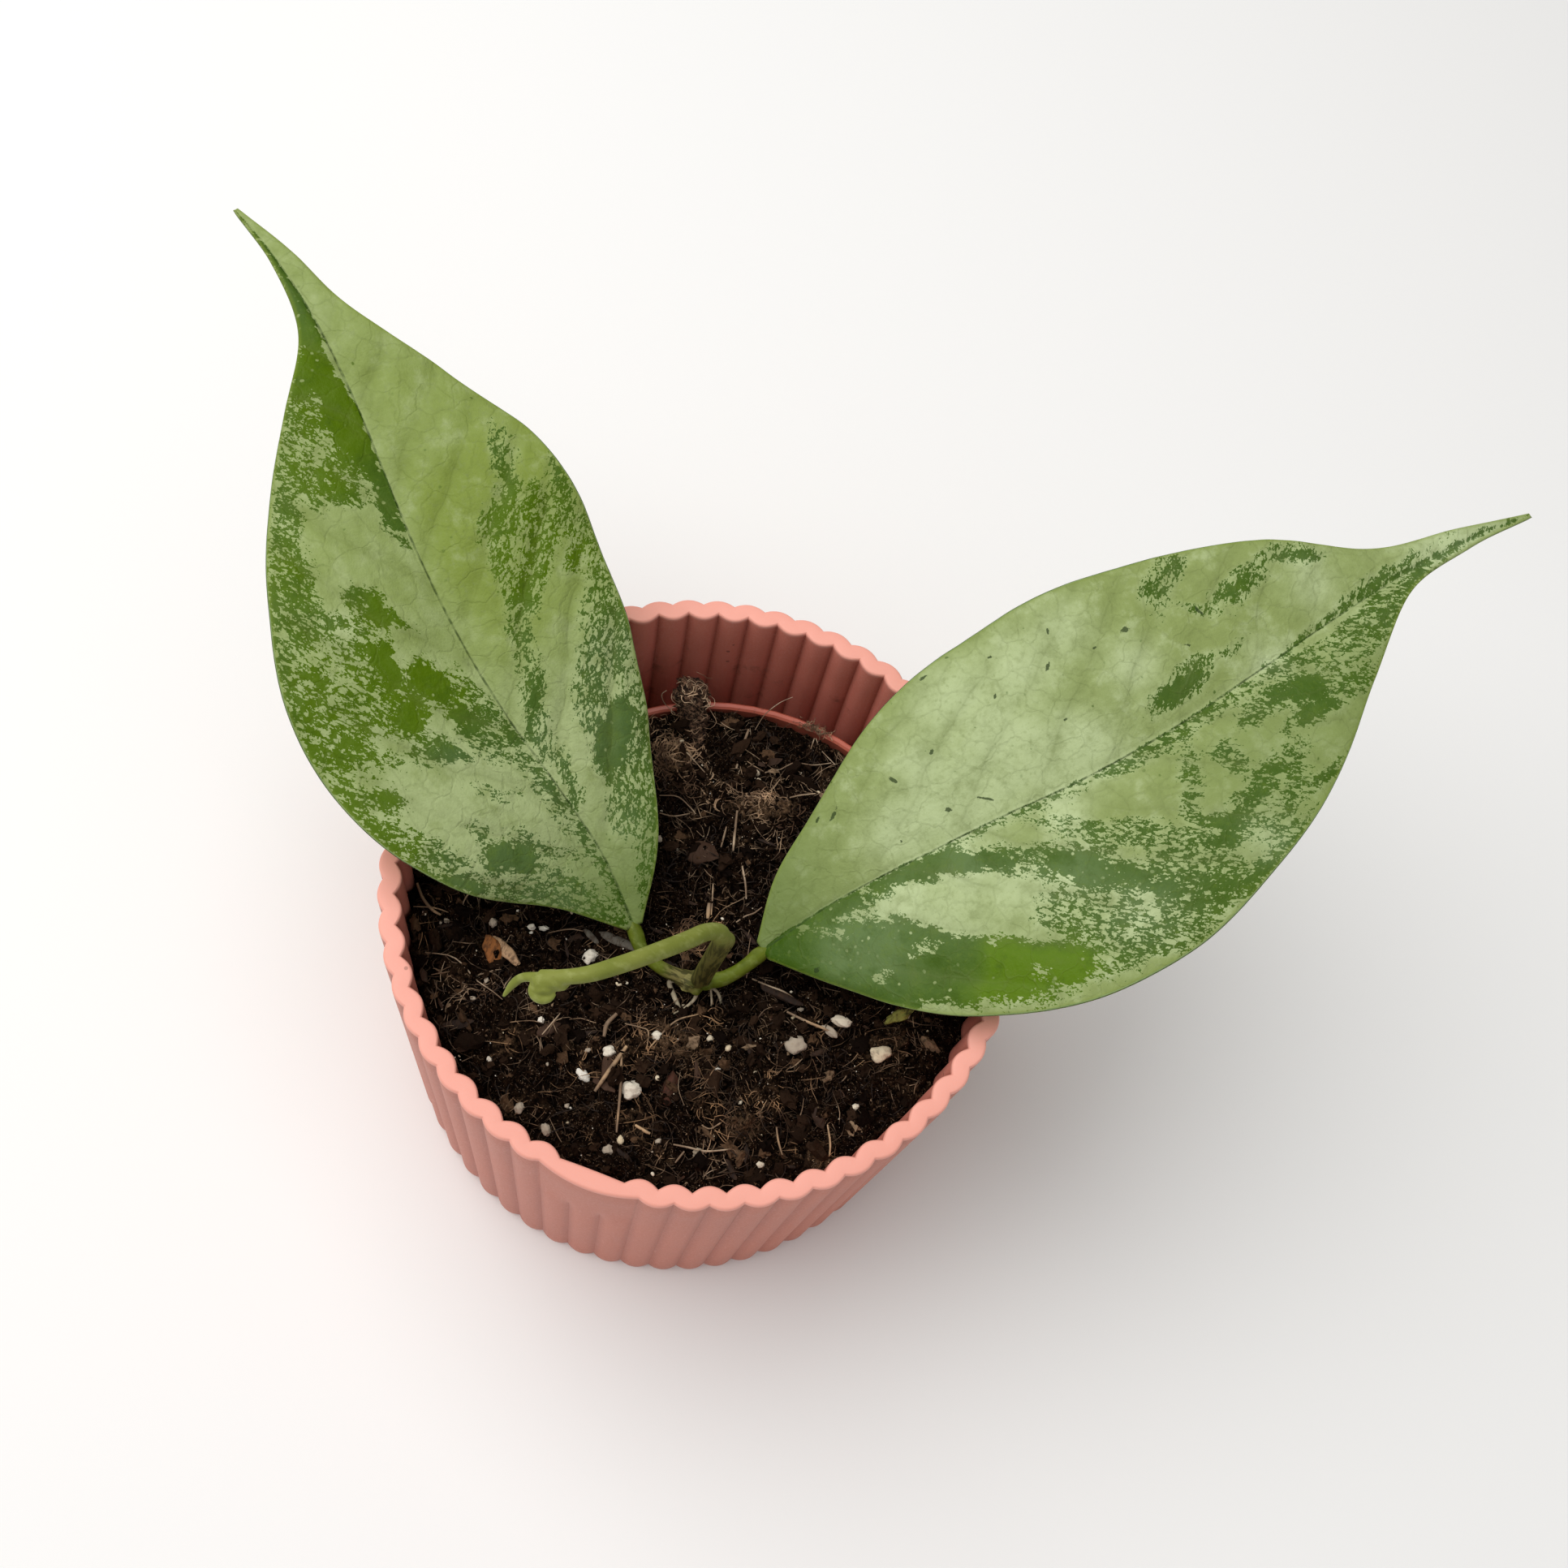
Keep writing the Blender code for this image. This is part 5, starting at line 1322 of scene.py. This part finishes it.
def shoot():
    radii = [1.5, 1.45, 1.45, 1.45, 1.5, 1.5, 1.45, 1.4, 1.25, 1.15]
    second = [(x + 1.25, y + 0.35, z - 0.2) for x, y, z in SHOOT[:4]] + [(6.9, -18.8, 119.4)]
    stems = [stem_mesh([(SHOOT, radii)], 6, 90), stem_mesh([(second, [1.05, 1.0, 1.0, 1.0, 0.7])], 5, 50),
             stem_mesh([(SHOOT_TIP, [0.95, 0.75, 0.7, 0.3])], 4, 24)]
    centre = Vector((-15.4, -41.0, 130.9))
    across, down = Vector((0.935, 0.33, 0.126)), Vector((0.353, -0.852, -0.387))
    curl = [centre + (across * math.cos(t) + down * math.sin(t)) * 1.9 for t in (3.5, 2.9, 2.3, 1.7, 1.1, 0.5)]
    stems.append(stem_mesh([([tuple(p) for p in curl], [0.45, 0.7, 0.8, 0.75, 0.6, 0.35])], 4, 30))
    lumps = [((-14.6, -39.7, 131.4), (3.2, 1.7, 1.7), 20, 0), (tuple(centre), (2.0, 1.35, 1.3), 12, 0)]
    mesh = grown_together("runner", stems, lumps, 0.16, 5)
    finish = green_stem_finish("lime_shoot", (0.225, 0.25, 0.050), (0.165, 0.195, 0.030),
                               (0.33, 0.36, 0.115), 90, (1, 1, 0.05), low_down, (0.150, 0.138, 0.036))
    piece("new_runner", mesh, finish, ["new_shoot"])


# The scene round it

def area_light(name, place, aim, size, watts, colour):
    data = bpy.data.lights.new(name, "AREA")
    data.shape = "SQUARE"
    data.size = size
    data.energy = watts
    data.color = colour
    light = bpy.data.objects.new(name, data)
    light.location = place
    light.rotation_euler = (Vector(aim) - Vector(place)).to_track_quat("-Z", "Y").to_euler()
    bpy.context.scene.collection.objects.link(light)


def surroundings():
    scene = bpy.context.scene
    world = bpy.data.worlds.new("soft_white_room")
    world.use_nodes = True
    room = world.node_tree.nodes["Background"]
    room.inputs["Color"].default_value = (1, 1, 1, 1)
    room.inputs["Strength"].default_value = ROOM_STRENGTH
    scene.world = world
    scene.view_settings.view_transform = "Standard"
    area_light("key", (-0.50, 0.05, 1.15), (0, 0, 0.08), 1.3, KEY_WATTS, (1, 0.99, 0.97))
    area_light("fill", (0.7, -0.45, 0.9), (0, 0, 0.06), 0.9, FILL_WATTS, (0.97, 0.985, 1))
    bm = bmesh.new()
    bmesh.ops.create_grid(bm, x_segments=2, y_segments=2, size=4)
    floor_mesh = bpy.data.meshes.new("floor")
    bm.to_mesh(floor_mesh)
    bm.free()
    floor = bpy.data.objects.new("floor", floor_mesh)
    floor.location.z = -0.0002
    finish = Finish("pale_floor", roughness=0.7, specular=0.2)
    finish.set(Base_Color=(0.97, 0.967, 0.96))
    floor_mesh.materials.append(finish.material)
    scene.collection.objects.link(floor)
    lens = bpy.data.cameras.new("view")
    lens.sensor_width = 36.0
    lens.lens = CAMERA_LENS
    camera = bpy.data.objects.new("view", lens)
    right = Vector(CAMERA_RIGHT).normalized()
    back = -Vector(CAMERA_AHEAD).normalized()
    up = back.cross(right).normalized()
    right = up.cross(back)
    camera.matrix_world = Matrix((*zip(right, up, back, CAMERA_PLACE), (0, 0, 0, 1)))
    lens.clip_start, lens.clip_end = 0.01, 20
    scene.collection.objects.link(camera)
    scene.camera = camera


def build():
    surroundings()
    piece("cover_pot_moulded", cover_pot_mesh(), pot_finish(), ["cover_pot"])
    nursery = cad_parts["nursery_pot"]
    nursery.data.materials.clear()
    nursery.data.materials.append(nursery_finish().material)
    draw = random.Random(26)
    piece("peat", mix_mesh(), peat_finish(), ["potting_mix"])
    piece("peat_crumbs", crumbs_mesh(draw), crumb_finish())
    piece("bark_chips", chips_mesh(draw), chip_finish())
    piece("perlite", perlite_mesh(draw), perlite_finish())
    piece("coir_heap", heap_mesh(), coir_finish())
    threads = (      # piece, routes, sides, rings, finish, dark and light colour
        ("coir_tangles", tangled_coir(draw), 0, 9, "tan_coir", (0.12, 0.064, 0.034), (0.68, 0.455, 0.285)),
        ("peat_strands", fibres(draw, 2500, (0.05, 0.16), (1.0, 5.0), 0.35, 0.6), 0, 6,
         "peat_strand", (0.012, 0.006, 0.0035), (0.21, 0.137, 0.083)),
        ("coir_threads", fibres(draw, 1350, (0.04, 0.10), (2.0, 9.0), 0.32, 0.8), 0, 7,
         "coir_thread", (0.050, 0.027, 0.014), (0.54, 0.375, 0.240)),
        ("dead_roots", fibres(draw, 70, (0.07, 0.16), (3, 11), 0.25, 0.9) + placed_fibres(), 1, 12,
         "dead_root", (0.20, 0.13, 0.080), (0.56, 0.43, 0.30)))
    for name, routes, sides, rings, look, dark, light in threads:
        piece(name, stem_mesh(routes, sides, rings), fibre_finish(look, dark, light))
    cutting()
    shoot()
    silver = leaf_finish("silver_green_leaf", (0.310, 0.385, 0.150), (0.215, 0.285, 0.052),
                         (0.40, 0.475, 0.225), (0.078, 0.145, 0.0005), (0.085, 0.145, 0.040), 1.0, 0.0, -1)
    blade = leaf_mesh("leaf_left_blade", LEAF_LEFT, SPLASH_LEFT, FLAKES_LEFT, SHEEN_LEFT, FRESH_LEFT, 0.4)
    piece("leaf_left_blade", blade, silver, ["leaf_left"])
    sage = leaf_finish("sage_green_leaf", (0.275, 0.345, 0.118), (0.240, 0.305, 0.090),
                       (0.50, 0.59, 0.320), (0.098, 0.185, 0.004), (0.120, 0.190, 0.062), 0.6, 0.45, 1,
                       TICKS_RIGHT)
    blade = leaf_mesh("leaf_right_blade", LEAF_RIGHT, SPLASH_RIGHT, FLAKES_RIGHT, SHEEN_RIGHT, FRESH_RIGHT, 0.6)
    piece("leaf_right_blade", blade, sage, ["leaf_right"])


build()
